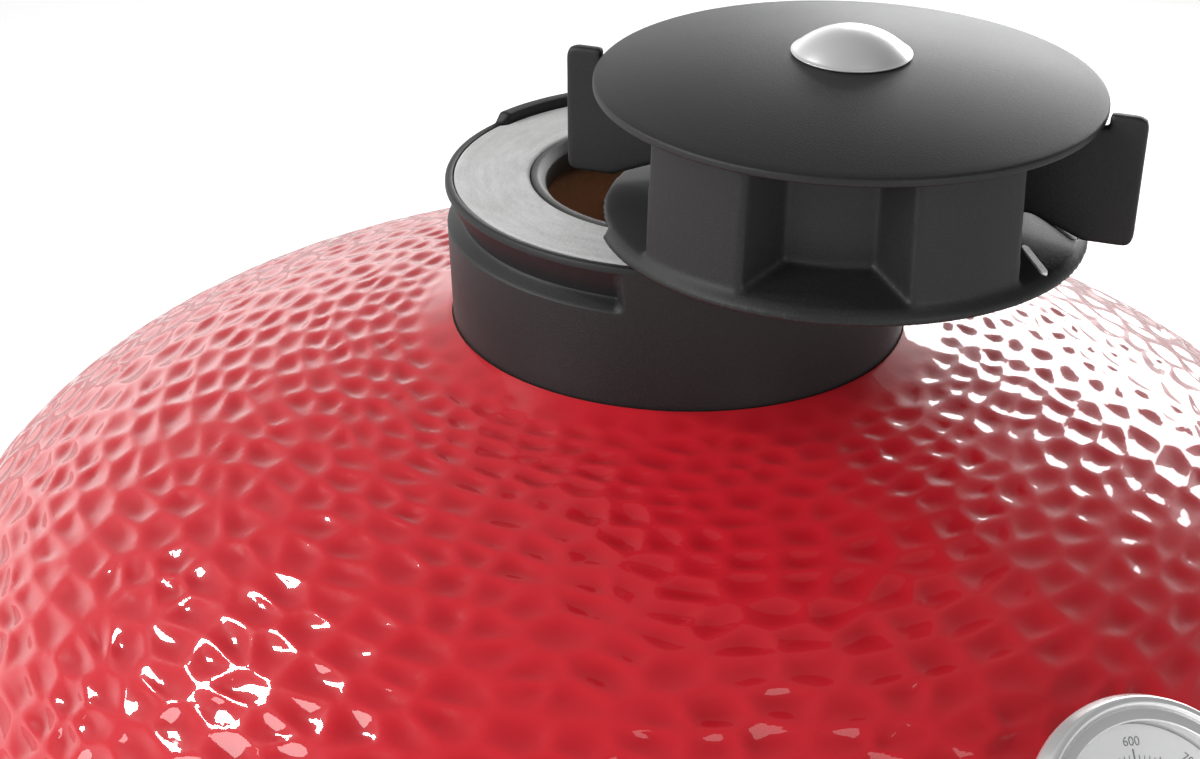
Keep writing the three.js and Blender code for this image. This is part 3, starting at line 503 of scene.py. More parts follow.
def lathe_mesh(outline, turns=160):
    """Vertices and faces of a closed outline turned about Z. Points on the axis are shared."""
    vertices, rings = [], []
    for radius, height in outline:
        if radius < 1e-6:
            rings.append([len(vertices)] * turns)
            vertices.append((0, 0, height))
            continue
        rings.append([len(vertices) + k for k in range(turns)])
        for k in range(turns):
            a = 2 * math.pi * k / turns
            vertices.append((radius * math.cos(a), radius * math.sin(a), height))
    faces = []
    for i, ring in enumerate(rings):
        ahead = rings[(i + 1) % len(rings)]
        for k in range(turns):
            n = (k + 1) % turns
            corners = list(dict.fromkeys((ring[k], ring[n], ahead[n], ahead[k])))
            if len(corners) > 2:
                faces.append(corners)
    return vertices, faces


def lathe(name, outline, material, turns=160, steps=4, sharp=40.0):
    return outward(make_object(name, *lathe_mesh(rounded(outline, steps), turns), material, sharp))


def outward(item):
    """Turns an item's faces to point out."""
    shape = bmesh.new()
    shape.from_mesh(item.data)
    bmesh.ops.recalc_face_normals(shape, faces=shape.faces)
    shape.to_mesh(item.data)
    shape.free()
    return item


def turned(item, matrix):
    """Moves an item's mesh by a matrix whose shifts are in millimetres."""
    shift = Matrix.Translation(matrix.translation * MM)
    item.data.transform(shift @ matrix.to_3x3().to_4x4())
    return item


def at(x=0.0, y=0.0, z=0.0):
    return Matrix.Translation((x, y, z))


def about(axis, degrees):
    return Matrix.Rotation(math.radians(degrees), 4, axis)


def slab_mesh(outline, low_z, high_z):
    """A closed plan outline raised between two heights."""
    count = len(outline)
    vertices = [(x, y, z) for z in (low_z, high_z) for x, y in outline]
    sides = [(k, (k + 1) % count, count + (k + 1) % count, count + k) for k in range(count)]
    return vertices, [list(range(count))[::-1], list(range(count, 2 * count)), *sides]


def bevelled(item, width, segments=3):
    """Rounds an item's edges of over 30 degrees by a width in millimetres."""
    shape = bmesh.new()
    shape.from_mesh(item.data)
    bmesh.ops.remove_doubles(shape, verts=shape.verts, dist=0.00001)
    bmesh.ops.dissolve_limit(shape, angle_limit=math.radians(1), verts=shape.verts, edges=shape.edges)
    limit = math.radians(30)
    sharp = [e for e in shape.edges if len(e.link_faces) == 2 and e.calc_face_angle() > limit]
    form = {"segments": segments, "profile": 0.5, "affect": "EDGES", "clamp_overlap": True}
    bmesh.ops.bevel(shape, geom=sharp, offset=width * MM, **form)
    shape.to_mesh(item.data)
    shape.free()
    shade(item.data, 50)
    return item


def apply_modifiers(item):
    graph = bpy.context.evaluated_depsgraph_get()
    graph.update()
    mesh = bpy.data.meshes.new_from_object(item.evaluated_get(graph))
    item.modifiers.clear()
    item.data = mesh
    return item


def cut_from(item, *tools):
    """Cuts tools out of an item, and removes them."""
    for tool in tools:
        modifier = item.modifiers.new("cut", "BOOLEAN")
        modifier.operation, modifier.solver, modifier.object = "DIFFERENCE", "EXACT", tool
    apply_modifiers(item)
    for tool in tools:
        bpy.data.objects.remove(tool)
    return item


def merged(name, items, material=None):
    """One item from several, in one material or keeping each one's."""
    shape = bmesh.new()
    materials = []
    for item in items:
        start = len(shape.faces)
        shape.from_mesh(item.data)
        shape.faces.ensure_lookup_table()
        for face in shape.faces[start:]:
            own = item.data.materials[face.material_index]
            if own not in materials:
                materials.append(own)
            face.material_index = materials.index(own)
        bpy.data.objects.remove(item)
    mesh = bpy.data.meshes.new(name)
    shape.to_mesh(mesh)
    shape.free()
    for each in [material] if material else materials:
        mesh.materials.append(each)
    return linked(name, mesh)


def cast(name, items, material, voxel, passes):
    """Melts overlapping closed items into one casting with soft fillets."""
    item = merged(name, items, material)
    for polygon in item.data.polygons:
        polygon.material_index = 0
    remesh = item.modifiers.new("remesh", "REMESH")
    remesh.mode, remesh.voxel_size, remesh.adaptivity = "VOXEL", voxel * MM, 0.0
    smooth = item.modifiers.new("smooth", "SMOOTH")
    smooth.factor, smooth.iterations = 0.5, passes
    apply_modifiers(item)
    shade(item.data)
    return item


def tube(name, points, radius, material, sides=12, closed=False):
    """A round wire along a list of millimetre points."""
    curve = bpy.data.curves.new(name, "CURVE")
    curve.dimensions, curve.bevel_depth, curve.bevel_resolution = "3D", radius * MM, sides // 4
    curve.use_fill_caps = not closed
    line = curve.splines.new("POLY")
    line.points.add(len(points) - 1)
    for target, point in zip(line.points, points):
        target.co = (*(c * MM for c in point), 1)
    line.use_cyclic_u = closed
    return from_curve(name, curve, material, 60)


def from_curve(name, curve, material, sharp=40.0):
    """A mesh item in the shape of a curve or a text."""
    item = linked(name, curve)
    mesh = bpy.data.meshes.new_from_object(item)
    bpy.data.objects.remove(item)
    return place_mesh(name, mesh, material, sharp)


def refined(node, material, bevel, segments=3):
    """A finer copy of a CAD node whose shape is right, fitted in its place: faces merged, edges rounded."""
    item = place_mesh(node + "_fine", frame["nodes"][node].data.copy(), material)
    fit(bevelled(item, bevel, segments), node)


def fit(item, node):
    """Stands an item in for a CAD node: hangs it on the node's body and hides the node."""
    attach(item, BODY_OF[node])
    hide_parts(node)


def polar(radius, bearing):
    a = math.radians(bearing)
    return radius * math.sin(a), -radius * math.cos(a)


def smoothstep(edge0, edge1, x):
    t = np.clip((x - edge0) / (edge1 - edge0), 0, 1)
    return t * t * (3 - 2 * t)


# ---- Hammered ceramic ----
def bowl_radius(z, inset=0.0):
    share = min(1.0, max(0.0, (BOWL_WAIST - z) / (BOWL_DEPTH - inset)))
    return (BODY_RADIUS - inset) * (1 - share**BOWL_POWER) ** (1 / BOWL_POWER)


def dome_point(angle, inset=0.0):
    """A point of the dome's section: angle runs from pi/2 at the shoulder to 0 at the top."""
    radius = (BODY_RADIUS - inset) * math.sin(angle)
    return radius, SHOULDER_Z + (DOME_RISE - inset) * math.cos(angle)


class Shell:
    """A turned shell with pits hammered into its skin. Each row has as many points as its radius needs."""

    SPREAD = 1.55  # pits are this much wider round the body than up it

    def __init__(self, seed):
        self.rows = []  # (radius, height, spacing, pit width, pit depth)
        self.random = np.random.default_rng(seed)

    def add(self, points, spacing, width=0.0, depth=0.0):
        """Adds a stretch of section, split to the spacing, with its pits' width and depth.

        A width or depth that varies is a function of radius and height.
        """
        for i, (radius, height) in enumerate(points):
            if self.rows and i == 0 and math.dist(self.rows[-1][:2], (radius, height)) < 1e-6:
                continue
            count = 1
            if self.rows and i > 0:
                count = max(1, round(math.dist(points[i - 1], (radius, height)) / spacing))
            start = points[i - 1] if i else (radius, height)
            for k in range(1, count + 1):
                r = start[0] + (radius - start[0]) * k / count
                z = start[1] + (height - start[1]) * k / count
                w = width(r, z) if callable(width) else width
                d = depth(r, z) if callable(depth) else depth
                self.rows.append((r, z, spacing, w, d))

    def stretched(self):
        """Each row's height in a space where distances up the body count SPREAD times."""
        heights = [0.0]
        for a, b in zip(self.rows, self.rows[1:]):
            step = math.dist(a[:2], b[:2]) * self.SPREAD
            heights.append(heights[-1] + math.sqrt(max(0.0, step**2 - (b[0] - a[0]) ** 2)))
        return heights

    def centres(self, heights):
        """Pit centres: jittered rings over the hammered rows."""
        found, due = [], 0.0
        for i in range(1, len(self.rows)):
            radius, _, _, width, _ = self.rows[i]
            if not width:
                continue
            due -= math.dist(self.rows[i - 1][:2], self.rows[i][:2]) * self.SPREAD
            if due > 0:
                continue
            due = width * 0.87
            count = max(6, round(2 * math.pi * radius / width))
            start = self.random.random()
            for k in range(count):
                shift = self.random.uniform(-0.34, 0.34, 2)
                a = 2 * math.pi * (k + start + shift[0]) / count
                found.append((radius * math.cos(a), radius * math.sin(a), heights[i] + shift[1] * width))
        return np.array(found)

    def build(self, name, materials, glazed, warp=None, hole=None):
        """Makes the item. glazed(row) tells skin from body, warp moves points, hole(x, y, z) drops faces."""
        heights = self.stretched()
        counts, starts, flat, spread = [], [], [], []
        for i, (radius, height, spacing, _, _) in enumerate(self.rows):
            count = 1 if radius < 1e-6 else max(24, round(2 * math.pi * radius / (spacing * 1.9)))
            angles = 2 * np.pi * (np.arange(count) + 0.5 * (i % 2)) / count
            starts.append(sum(counts))
            counts.append(count)
            ring = np.stack([radius * np.cos(angles), radius * np.sin(angles)], 1)
            flat.append(np.hstack([ring, np.full((count, 1), height)]))
            spread.append(np.hstack([ring, np.full((count, 1), heights[i])]))
        points, spread = np.vstack(flat), np.vstack(spread)
        pit = self.pits(counts, spread, heights)
        depth = np.repeat([row[4] for row in self.rows], counts)
        points = points - self.normals(counts, points) * (pit * depth)[:, None]
        if warp:
            points = warp(points)
        faces, skin = self.faces(counts, starts, glazed)
        if hole:
            middle = points[np.array(faces)].mean(1)
            kept = [k for k, p in enumerate(middle) if not hole(*p)]
            faces, skin = [faces[k] for k in kept], [skin[k] for k in kept]
        item = make_object(name, points, faces, materials, 60)
        item.data.polygons.foreach_set("material_index", [0 if s else 1 for s in skin])
        layer = item.data.attributes.new("pit", "FLOAT", "POINT")
        layer.data.foreach_set("value", pit.astype(np.float32))
        return outward(item)

    def pits(self, counts, spread, heights):
        """How deep in its pit each point lies, from 0 on a ridge to 1 at a pit's middle."""
        hammered = np.repeat([row[3] > 0 for row in self.rows], counts)
        result = np.zeros(len(spread))
        centres = self.centres(heights)
        if not len(centres):
            return result
        tree = kdtree.KDTree(len(centres))
        for k, centre in enumerate(centres):
            tree.insert(centre, k)
        tree.balance()
        size = self.random.uniform(0.6, 1.0, len(centres))
        for k in np.nonzero(hammered)[0]:
            (_, own, near), (_, _, far) = tree.find_n(spread[k], 2)
            share = min(1.0, 2 * near / (near + far)) ** 1.2
            result[k] = size[own] * (0.25 + 0.25 * math.cos(math.pi * share) + 0.5 * (1 - share**2))
        return result

    def normals(self, counts, points):
        """The section's outward normal at each point."""
        section = np.array([row[:2] for row in self.rows])
        slope = np.gradient(section, axis=0)
        length = np.linalg.norm(slope, axis=1).clip(1e-9)
        sign = 1 if slope[0][1] > 0 else -1
        radial = np.repeat(sign * slope[:, 1] / length, counts)
        upward = np.repeat(-sign * slope[:, 0] / length, counts)
        reach = np.linalg.norm(points[:, :2], axis=1).clip(1e-9)
        return np.stack([radial * points[:, 0] / reach, radial * points[:, 1] / reach, upward], 1)

    def faces(self, counts, starts, glazed):
        """Triangles between each row and the next, and from the last row back to the first."""
        faces, skin = [], []
        total = len(counts)
        for i in range(total):
            j = (i + 1) % total
            n, m = counts[i], counts[j]
            if n == 1 and m == 1:
                continue
            a, b = 0, 0
            turn_a, turn_b = 0.5 * (i % 2), 0.5 * (j % 2)
            while a < n or b < m:
                if b >= m or (a < n and (a + 1 + turn_a) / n <= (b + 1 + turn_b) / m):
                    face = (starts[i] + a % n, starts[i] + (a + 1) % n, starts[j] + b % m)
                    a += 1
                else:
                    face = (starts[i] + a % n, starts[j] + (b + 1) % m, starts[j] + b % m)
                    b += 1
                if len(set(face)) == 3:
                    faces.append(face)
                    skin.append(glazed(i))
        return faces, skin


COLLAR_OUTER, COLLAR_INNER, COLLAR_RISE = 96.0, 77.2, 2.0
FLUE_RADIUS, FLUE_TOP = 53.0, 638.0
EDGE = 2.5  # the rounding of both shells' rims


def collar_height(radius):
    """The smooth collar curls up to the vent ring's foot."""
    curl = max(0.0, (COLLAR_OUTER - radius) / (COLLAR_OUTER - COLLAR_INNER))
    return dome_point(math.asin(radius / BODY_RADIUS))[1] + COLLAR_RISE * curl**2


def dome_shell():
    shell = Shell(seed=7)

    def pit_depth(r, z):
        fade = float(smoothstep(81, 94, r) * smoothstep(DOME_BASE + 3, DOME_BASE + 16, z))
        return fade * (1.25 + 0.35 * min(1.0, (r - 80) / 100))

    def pit_width(r, z):
        return 13.0 + 6.0 * float(smoothstep(90, 200, r))

    fine = 1.35
    rim = (BODY_RADIUS, DOME_BASE + EDGE)
    shell.add([(BODY_RADIUS - EDGE, DOME_BASE), (BODY_RADIUS - 0.7, DOME_BASE + 0.7), rim], 2.0)
    shell.add([rim, (BODY_RADIUS, SHOULDER_Z)], 2.6, pit_width, pit_depth)
    outer_angle = math.asin(COLLAR_OUTER / BODY_RADIUS)
    crown = [dome_point(a) for a in np.linspace(math.pi / 2, outer_angle, 260)]
    shell.add(resample(crown, fine), fine, pit_width, pit_depth)
    collar = [(r, collar_height(r)) for r in np.linspace(COLLAR_OUTER, COLLAR_INNER, 14)]
    shell.add(collar, 1.6, pit_width, pit_depth)
    skin_rows = len(shell.rows)
    ring_seat = [(76.4, 607.2), (75.6, 606.2), (74.0, 605.2), (69.5, 605.2), (69, 606)]
    neck = [(69, 606), (69, FLUE_TOP), (67, FLUE_TOP + 2), (55, FLUE_TOP + 2), (FLUE_RADIUS, FLUE_TOP)]
    shell.add(ring_seat, 3.0)
    shell.add(neck, 6.0)
    inner_radius = BODY_RADIUS - DOME_WALL
    inner_angle = math.asin(FLUE_RADIUS / inner_radius)
    inside = [dome_point(a, DOME_WALL) for a in np.linspace(inner_angle, math.pi / 2, 40)]
    shell.add([neck[-1], *inside], 7.0)
    shell.add([inside[-1], (inner_radius, DOME_BASE + 1), (inner_radius + 1, DOME_BASE)], 9.0)
    fit(shell.build("dome_glaze", [RED, SMOKED], lambda i: i < skin_rows), "dome_shell")


def resample(points, spacing):
    """The same open line, with points at an even spacing."""
    line = np.array(points)
    walked = np.concatenate([[0], np.cumsum(np.linalg.norm(np.diff(line, axis=0), axis=1))])
    marks = np.linspace(0, walked[-1], max(2, round(walked[-1] / spacing) + 1))
    return list(zip(np.interp(marks, walked, line[:, 0]), np.interp(marks, walked, line[:, 1])))


PORT_FACE = low("draft_frame").y + 4.3  # the draft frame is 4 mm thick and stands 0.3 mm off the bowl
PORT_HALF, PORT_LOW, PORT_HIGH = 88.0, 68.0, 148.0  # the flat face round the port
PASSAGE_HALF, PASSAGE_LOW, PASSAGE_HIGH = 66.0, 76.0, 128.0  # the port's way through the wall
BOWL_PIT = 19.0  # the width of the bowl's pits


def port_warp(points):
    """Draws the bowl's lower front out to the flat face that carries the draft frame."""
    x, y, z = points.T
    beside = 1 - smoothstep(PORT_HALF - 6, PORT_HALF + 12, np.abs(x))
    level = smoothstep(PORT_LOW - 16, PORT_LOW, z) * (1 - smoothstep(PORT_HIGH, PORT_HIGH + 16, z))
    outer = np.hypot(x, y) > np.array([bowl_radius(h) for h in z]) - BOWL_WALL * 0.5
    share = np.where((y < 0) & outer, beside * level, 0)
    moved = points.copy()
    moved[:, 1] = np.where(y > PORT_FACE, y + (PORT_FACE - y) * share, y)
    return moved


def bowl_shell():
    shell = Shell(seed=11)

    def pit_depth(r, z):
        fade = smoothstep(BOWL_RIM - 3, BOWL_RIM - 16, z) * smoothstep(BOWL_FLOOR + 6, BOWL_FLOOR + 26, z)
        return 1.5 * float(fade)

    fine = 2.6
    outside = [(bowl_radius(z), z) for z in np.linspace(BOWL_WAIST, BOWL_FLOOR + 2, 140)]
    rim = (BODY_RADIUS, BOWL_RIM - EDGE)
    shell.add([(BODY_RADIUS - DOME_WALL, BOWL_RIM), (BODY_RADIUS - EDGE, BOWL_RIM), rim], 8.0)
    shell.add([rim, (BODY_RADIUS, BOWL_WAIST)], fine, BOWL_PIT, pit_depth)
    shell.add(resample(outside, fine), fine, BOWL_PIT, pit_depth)
    skin_rows = len(shell.rows)
    foot = outside[-1][0]
    shell.add([(foot - 3, BOWL_FLOOR), (40, BOWL_FLOOR), (0, BOWL_FLOOR)], 14.0)
    floor = BOWL_FLOOR + BOWL_WALL
    inside = [(bowl_radius(z, BOWL_WALL), z) for z in np.linspace(floor, BOWL_WAIST, 30)]
    shell.rows.append((0, floor, 14.0, 0, 0))
    shell.add([(20, floor), *inside, (BODY_RADIUS - BOWL_WALL, BOWL_RIM - 2)], 10.0)

    def in_passage(x, y, z):
        return y < -90 and abs(x) < PASSAGE_HALF and PASSAGE_LOW < z < PASSAGE_HIGH

    item = shell.build("bowl_glaze", [RED, CLAY], lambda i: i < skin_rows, port_warp, in_passage)
    fit(item, "bowl_shell")


# ---- Forms that several pieces share ----
PLATE_TURN = {
    "X": Matrix(((0, 0, 1, 0), (1, 0, 0, 0), (0, 1, 0, 0), (0, 0, 0, 1))),
    "Y": Matrix(((1, 0, 0, 0), (0, 0, -1, 0), (0, 1, 0, 0), (0, 0, 0, 1))),
    "Z": Matrix.Identity(4),
}
TILT = {"X": about("Y", 90), "Y": about("X", -90), "Z": Matrix.Identity(4)}
CENTRE = (0, 0, 0)


def plate(name, outline, start, end, material, axis="Z", bevel=0.5, segments=3):
    """A flat piece between start and end along an axis. Its outline is in the other two axes."""
    span = (-end, -start) if axis == "Y" else (start, end)
    item = outward(make_object(name, *slab_mesh(rounded(outline), *span), material))
    return bevelled(turned(item, PLATE_TURN[axis]), bevel, segments)


def spun(name, outline, place, material, axis="Z", turns=72):
    """A turned piece. The outline's heights run along the axis from the place."""
    return turned(lathe(name, outline, material, turns), at(*place) @ TILT[axis])


def mirrored(half):
    """The outline of a turned piece whose other end is the same. half runs from the end to the middle."""
    return [*half, *[(r, -x, *rest) for r, x, *rest in half[::-1]]]


def hexagon(name, radius, start, end, place, material, axis="Z"):
    """A hexagonal head or nut with its corners chamfered."""
    outline = [(radius * math.cos(a), radius * math.sin(a)) for a in np.arange(6) * math.pi / 3]
    item = bevelled(make_object(name, *slab_mesh(outline, start, end), material), radius * 0.09)
    return turned(outward(item), at(*place) @ TILT[axis])


def swept(name, outline, start, end, count, material):
    """A closed outline of (radius, height) swept about Z from one bearing to another, with closed ends."""
    section = rounded(outline)
    size = len(section)
    bearings = np.linspace(start, end, count)
    vertices = [(*polar(r, b), z) for b in bearings for r, z in section]
    faces = [
        (i * size + k, i * size + (k + 1) % size, (i + 1) * size + (k + 1) % size, (i + 1) * size + k)
        for i in range(count - 1)
        for k in range(size)
    ]
    faces += [list(range(size)), list(range((count - 1) * size, count * size))[::-1]]
    return outward(make_object(name, vertices, faces, material))


def loft_faces(columns, size):
    """Faces between sections of as many points as size that stand round a closed ring."""
    return [
        (k * size + i, n * size + i, n * size + (i + 1) % size, k * size + (i + 1) % size)
        for k, n in zip(range(columns), [*range(1, columns), 0])
        for i in range(size)
    ]


def arc(radius, start, end, count):
    return [polar(radius, b) for b in np.linspace(start, end, count)]


# ---- Top vent: heights are above the top of the vent ring ----
ON_RING = at(0, 0, RING_TOP)
PIVOT = (PIVOT_AXIS.x, PIVOT_AXIS.y, 0)
PIVOT_REACH = math.hypot(*PIVOT)
ON_TOWER = ON_RING @ at(*PIVOT) @ about("Z", TOWER_TURN) @ at(-PIVOT[0], -PIVOT[1], 0)
RING_HEIGHT, LIP_HEIGHT, LIP_HALF = 49.4, 3.2, 21.0  # LIP_HALF and GRIP_HALF are in degrees
GRIP_HALF, GRIP_DEPTH = 42.4, 5.0
FELT_INNER, FELT_OUTER = 50.4, 75.3


def pivot_ear(name, root, start, end):
    """The lug round the tower's pivot bolt: straight sides that end in a round boss."""
    half, boss = 7.0, 9
    edge = math.degrees(math.acos(half / boss))
    angles = np.radians(np.linspace(edge, -180 - edge, 28))
    outline = [(-half, -root), (half, -root)]
    outline += [(boss * math.cos(a), boss * math.sin(a) - PIVOT_REACH) for a in angles]
    item = plate(name, outline, start, end, BLACK, bevel=1.0)
    return turned(item, about("Z", math.degrees(math.atan2(PIVOT[0], -PIVOT[1]))))


def ring_section(grip, lip):
    """The vent ring's section. grip and lip are shares: of the finger hollow's depth, of the lip's height."""
    def wall(z):
        return RING_FOOT_RADIUS + (RING_TOP_RADIUS - RING_FOOT_RADIUS) * (z + RING_HEIGHT) / (RING_HEIGHT - 2)

    foot, rim, top, inner = RING_FOOT_RADIUS, wall(-1.9), LIP_HEIGHT * lip, 75.6 - 1.8 * lip
    hollow = [
        (-16.2, 0), (-15.9, 0.04), (-15.4, 0.2), (-14.8, 0.4), (-14.2, 0.6), (-13.6, 0.8), (-13.1, 0.95),
        (-12.8, 0.99), (-12.2, 0.95), (-10, 0.74), (-8, 0.55), (-6, 0.36), (-4, 0.17), (-3, 0.07), (-2.4, 0),
    ]
    return [
        (foot - 5, -RING_HEIGHT), (foot - 0.8, -RING_HEIGHT),
        (foot - 0.2, -RING_HEIGHT + 0.3), (foot, -RING_HEIGHT + 1),
        *[(wall(z), z) for z in np.linspace(-47, -17, 9)],
        *[(wall(z) - GRIP_DEPTH * grip * share, z) for z, share in hollow],
        (rim, -1.9), (rim - 0.05, top - 1.0), (rim - 0.35, top - 0.35), (rim - 0.95, top),
        (inner + 0.9, top), (inner + 0.25, top - 0.25), (inner, top - 0.8), (inner, -2.4),
        (50, -2.4), (50, -0.5), (49.6, 0.1), (48.0, 0.1), (47.4, -0.15),
        (RING_HOLE + 0.3, -2.2), (RING_HOLE, -2.8), (RING_HOLE, -9), (foot - 5, -9),
    ]


def vent_ring():
    columns = 900
    vertices = []
    for k in range(columns):
        bearing = 360 * k / columns - 180
        aside = abs(abs(bearing) - 90)
        grip = np.clip((GRIP_HALF + 1.3 - aside) / 2.6, 0, 1)
        lip = smoothstep(LIP_HALF + 2.2, LIP_HALF - 0.6, 180 - abs(bearing))
        section = ring_section(float(grip), float(lip))
        vertices += [(*polar(r, bearing), z) for r, z in section]
    faces = loft_faces(columns, len(section))
    casting = outward(make_object("ring_casting", vertices, faces, BLACK, 28))
    ear = pivot_ear("ring_ear", 74, -16, -0.3)
    fit(turned(merged("vent_ring_casting", [casting, ear]), ON_RING), "vent_ring")


def vent_felt():
    """The felt pad, its top worn in faint rings."""
    rings, columns = 56, 360
    random = np.random.default_rng(3)
    waves = [(random.uniform(0.5, 2.5), random.uniform(0, 6.28), random.integers(1, 5)) for _ in range(6)]
    vertices = []
    for k in range(columns):
        bearing = 360 * k / columns
        cut = smoothstep(LIP_HALF + 3.4, LIP_HALF + 0.6, abs(bearing - 180))
        outer = FELT_OUTER - 2.0 * float(cut)
        for i in range(rings):
            share = i / (rings - 1)
            r = FELT_INNER + (outer - FELT_INNER) * share
            wave = sum(math.sin(r * w + p + math.radians(n * bearing)) for w, p, n in waves)
            edge = min(share, 1 - share) * 26
            z = 0.02 + 0.09 * wave / len(waves) - 0.5 * max(0.0, 1 - edge) ** 2
            vertices.append((*polar(r, bearing), z))
        vertices += [(*polar(r, bearing), -2.1) for r in (outer, FELT_INNER)]
    pad = outward(make_object("vent_felt_pad", vertices, loft_faces(columns, rings + 2), RING_FELT, 50))
    fit(turned(pad, ON_RING), "vent_felt")


def drum_wall(bearing):
    """A pair of pillars with a hollow between them, leaning in a little towards the top."""
    radius, floor, thick, low_z, high_z = 73.0, 56.0, 3.5, 8.0, 48.0
    span, outer, inner = 50.0, 20.0, 13.4
    skin = math.degrees(thick / radius)

    def corner(r, b, fillet):
        return *polar(r, bearing + b), fillet

    def side(r, start, end):
        return arc(r, bearing + start, bearing + end, 12)[1:-1]

    outside = [
        corner(floor - 3, -span, 0.8),
        corner(radius, -span, 1.4),
        *side(radius, -span, -outer),
        corner(radius, -outer, 1.8),
        corner(floor, -inner, 2.4),
        *side(floor, -inner, inner),
        corner(floor, inner, 2.4),
        corner(radius, outer, 1.8),
        *side(radius, outer, span),
        corner(radius, span, 1.4),
        corner(floor - 3, span, 0.8),
    ]
    inside = [
        corner(floor - 3, span - 3.6, 0.8),
        corner(radius - thick, span - skin, 1),
        *side(radius - thick, span - skin, outer + skin),
        corner(radius - thick, outer + skin, 1),
        corner(floor - 3, inner + 2.6, 1),
        *side(floor - 3, inner + 2.6, -inner - 2.6),
        corner(floor - 3, -inner - 2.6, 1),
        corner(radius - thick, -outer - skin, 1),
        *side(radius - thick, -outer - skin, -span + skin),
        corner(radius - thick, -span + skin, 1),
        corner(floor - 3, -span + 3.6, 0.8),
    ]
    vertices, faces = slab_mesh(rounded(outside + inside), low_z, high_z)
    lean = [1 - 0.85 / radius * (z - low_z) / (high_z - low_z) for _, _, z in vertices]
    leaning = [(x * share, y * share, z) for (x, y, z), share in zip(vertices, lean)]
    return outward(make_object("drum_wall", leaning, faces, BLACK))


def strip(name, start, end, half, low_z, high_z, material):
    """A narrow prism with round ends between two (radius, bearing) points, its heights above the deck."""
    a, b = Vector(polar(*start)), Vector(polar(*end))
    along = (b - a).angle_signed(Vector((1, 0)))
    outline = []
    for centre, turn in ((b, -90), (a, 90)):
        for step in range(9):
            angle = along + math.radians(turn + 22.5 * step)
            outline.append(centre + half * Vector((math.cos(angle), math.sin(angle))))
    vertices, faces = slab_mesh([tuple(p) for p in outline], low_z, high_z)
    sloped = [(x, y, z + deck_height(math.hypot(x, y))) for x, y, z in vertices]
    return outward(make_object(name, sloped, faces, material))


DECK_INNER, DECK_OUTER, DECK_TOP, DECK_FALL = 57, 73.6, 14, 5
FLANGE_SLOTS = (((59, 5), (71.8, -3.5)), ((63, -22), (72.4, -26.8)))


def deck_height(radius):
    """The flange's top at a radius."""
    return DECK_TOP - (radius - DECK_INNER) * DECK_FALL / (DECK_OUTER - DECK_INNER)


def sector_tool(inner, outer, start, end, low_z, high_z, count):
    """A block between two radii and two bearings, to cut with."""
    outline = [*arc(inner, start, end, count), *arc(outer, end, start, count)]
    return outward(make_object("tool", *slab_mesh(outline, low_z, high_z), BLACK))


def spokes(reach, low_z, high_z, turns):
    """Flat bars across the middle."""
    outline = [(-reach, -4), (reach, -4), (reach, 4), (-reach, 4)]
    return [turned(plate("spoke", outline, low_z, high_z, BLACK, bevel=0.8), about("Z", t)) for t in turns]


def tower_body():
    section = [
        (46, 8, 0.8), (46, DECK_TOP, 1), (DECK_INNER, DECK_TOP, 4), (DECK_OUTER, DECK_TOP - DECK_FALL, 3),
        (76.3, 6.6, 1.6), (76.3, 4.4, 0.8), (73.3, 4.4, 0.8), (67, 5.4, 1), (66, 0.6, 0.6), (62, 0.6, 0.6),
        (61, 8, 1),
    ]
    flange = lathe("flange", section, BLACK, 240)
    notch_half = 24.5  # clears the ring's raised lip when the vent is closed
    cut_from(flange, sector_tool(60, 90, 180 - notch_half, 180 + notch_half, -2, 7.2, 12))
    bars = spokes(50, 8, 12, (45, 135))
    hub = lathe("hub", [(4.3, 8), (9, 8, 1), (9, 13, 1), (4.3, 13)], BLACK, 48)
    ear = pivot_ear("tower_ear", 72, 0.6, 8)
    walls = [drum_wall(-86.4), drum_wall(93.6)]
    item = cast("tower_casting", [flange, *bars, hub, ear, *walls], BLACK, 1.0, 4)
    cut_from(item, *[strip("slot", *ends, 1.5, -1.6, 4, BLACK) for ends in FLANGE_SLOTS])
    fit(turned(item, ON_TOWER), "tower_body")
    # painted highlight: near-white felt strips in the slots stand in for the bright glaze seen through them
    highlight_felts = [strip("felt", *ends, 1.2, -1.5, 0.6, SLOT_FELT_HIGHLIGHT) for ends in FLANGE_SLOTS]
    inlay = turned(merged("vent_slot_felt_highlight", highlight_felts), ON_TOWER)
    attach(inlay, BODY_OF["tower_body"])


DAMPER_TURN = -5.9  # degrees that the sleeve stands turned in the tower


def damper():
    """The slotted sleeve that turns inside the pillars, and its two flat finger tabs."""
    sleeve = lathe("sleeve", [(48, 14.6, 0.6), (51, 14.6, 0.6), (51, 45, 0.6), (48, 45, 0.6)], BLACK, 160)
    cut_from(sleeve, *[sector_tool(40, 60, b - 17, b + 17, 18, 41, 4) for b in (38, 142, 218, 322)])
    parts = [sleeve, lathe("hub", [(4.3, 38), (10, 38, 1), (10, 45, 1), (4.3, 45)], BLACK, 48)]
    parts += spokes(49, 41, 45, (0, 90))
    tab = [
        (49, 17, 1), (59, 17, 3), (75, 10.6, 3), (90, 10.6, 3.4), (91, 52, 3.6),
        (79.4, 52, 1), (79.4, 47.6), (49, 47.6, 1),
    ]
    parts += [turned(plate("tab", tab, -2, 2, BLACK, "Y", 0.9), about("Z", turn)) for turn in (-90, 90)]
    item = cast("damper_casting", parts, BLACK, 0.85, 2)
    fit(turned(item, ON_TOWER @ about("Z", DAMPER_TURN)), "damper")


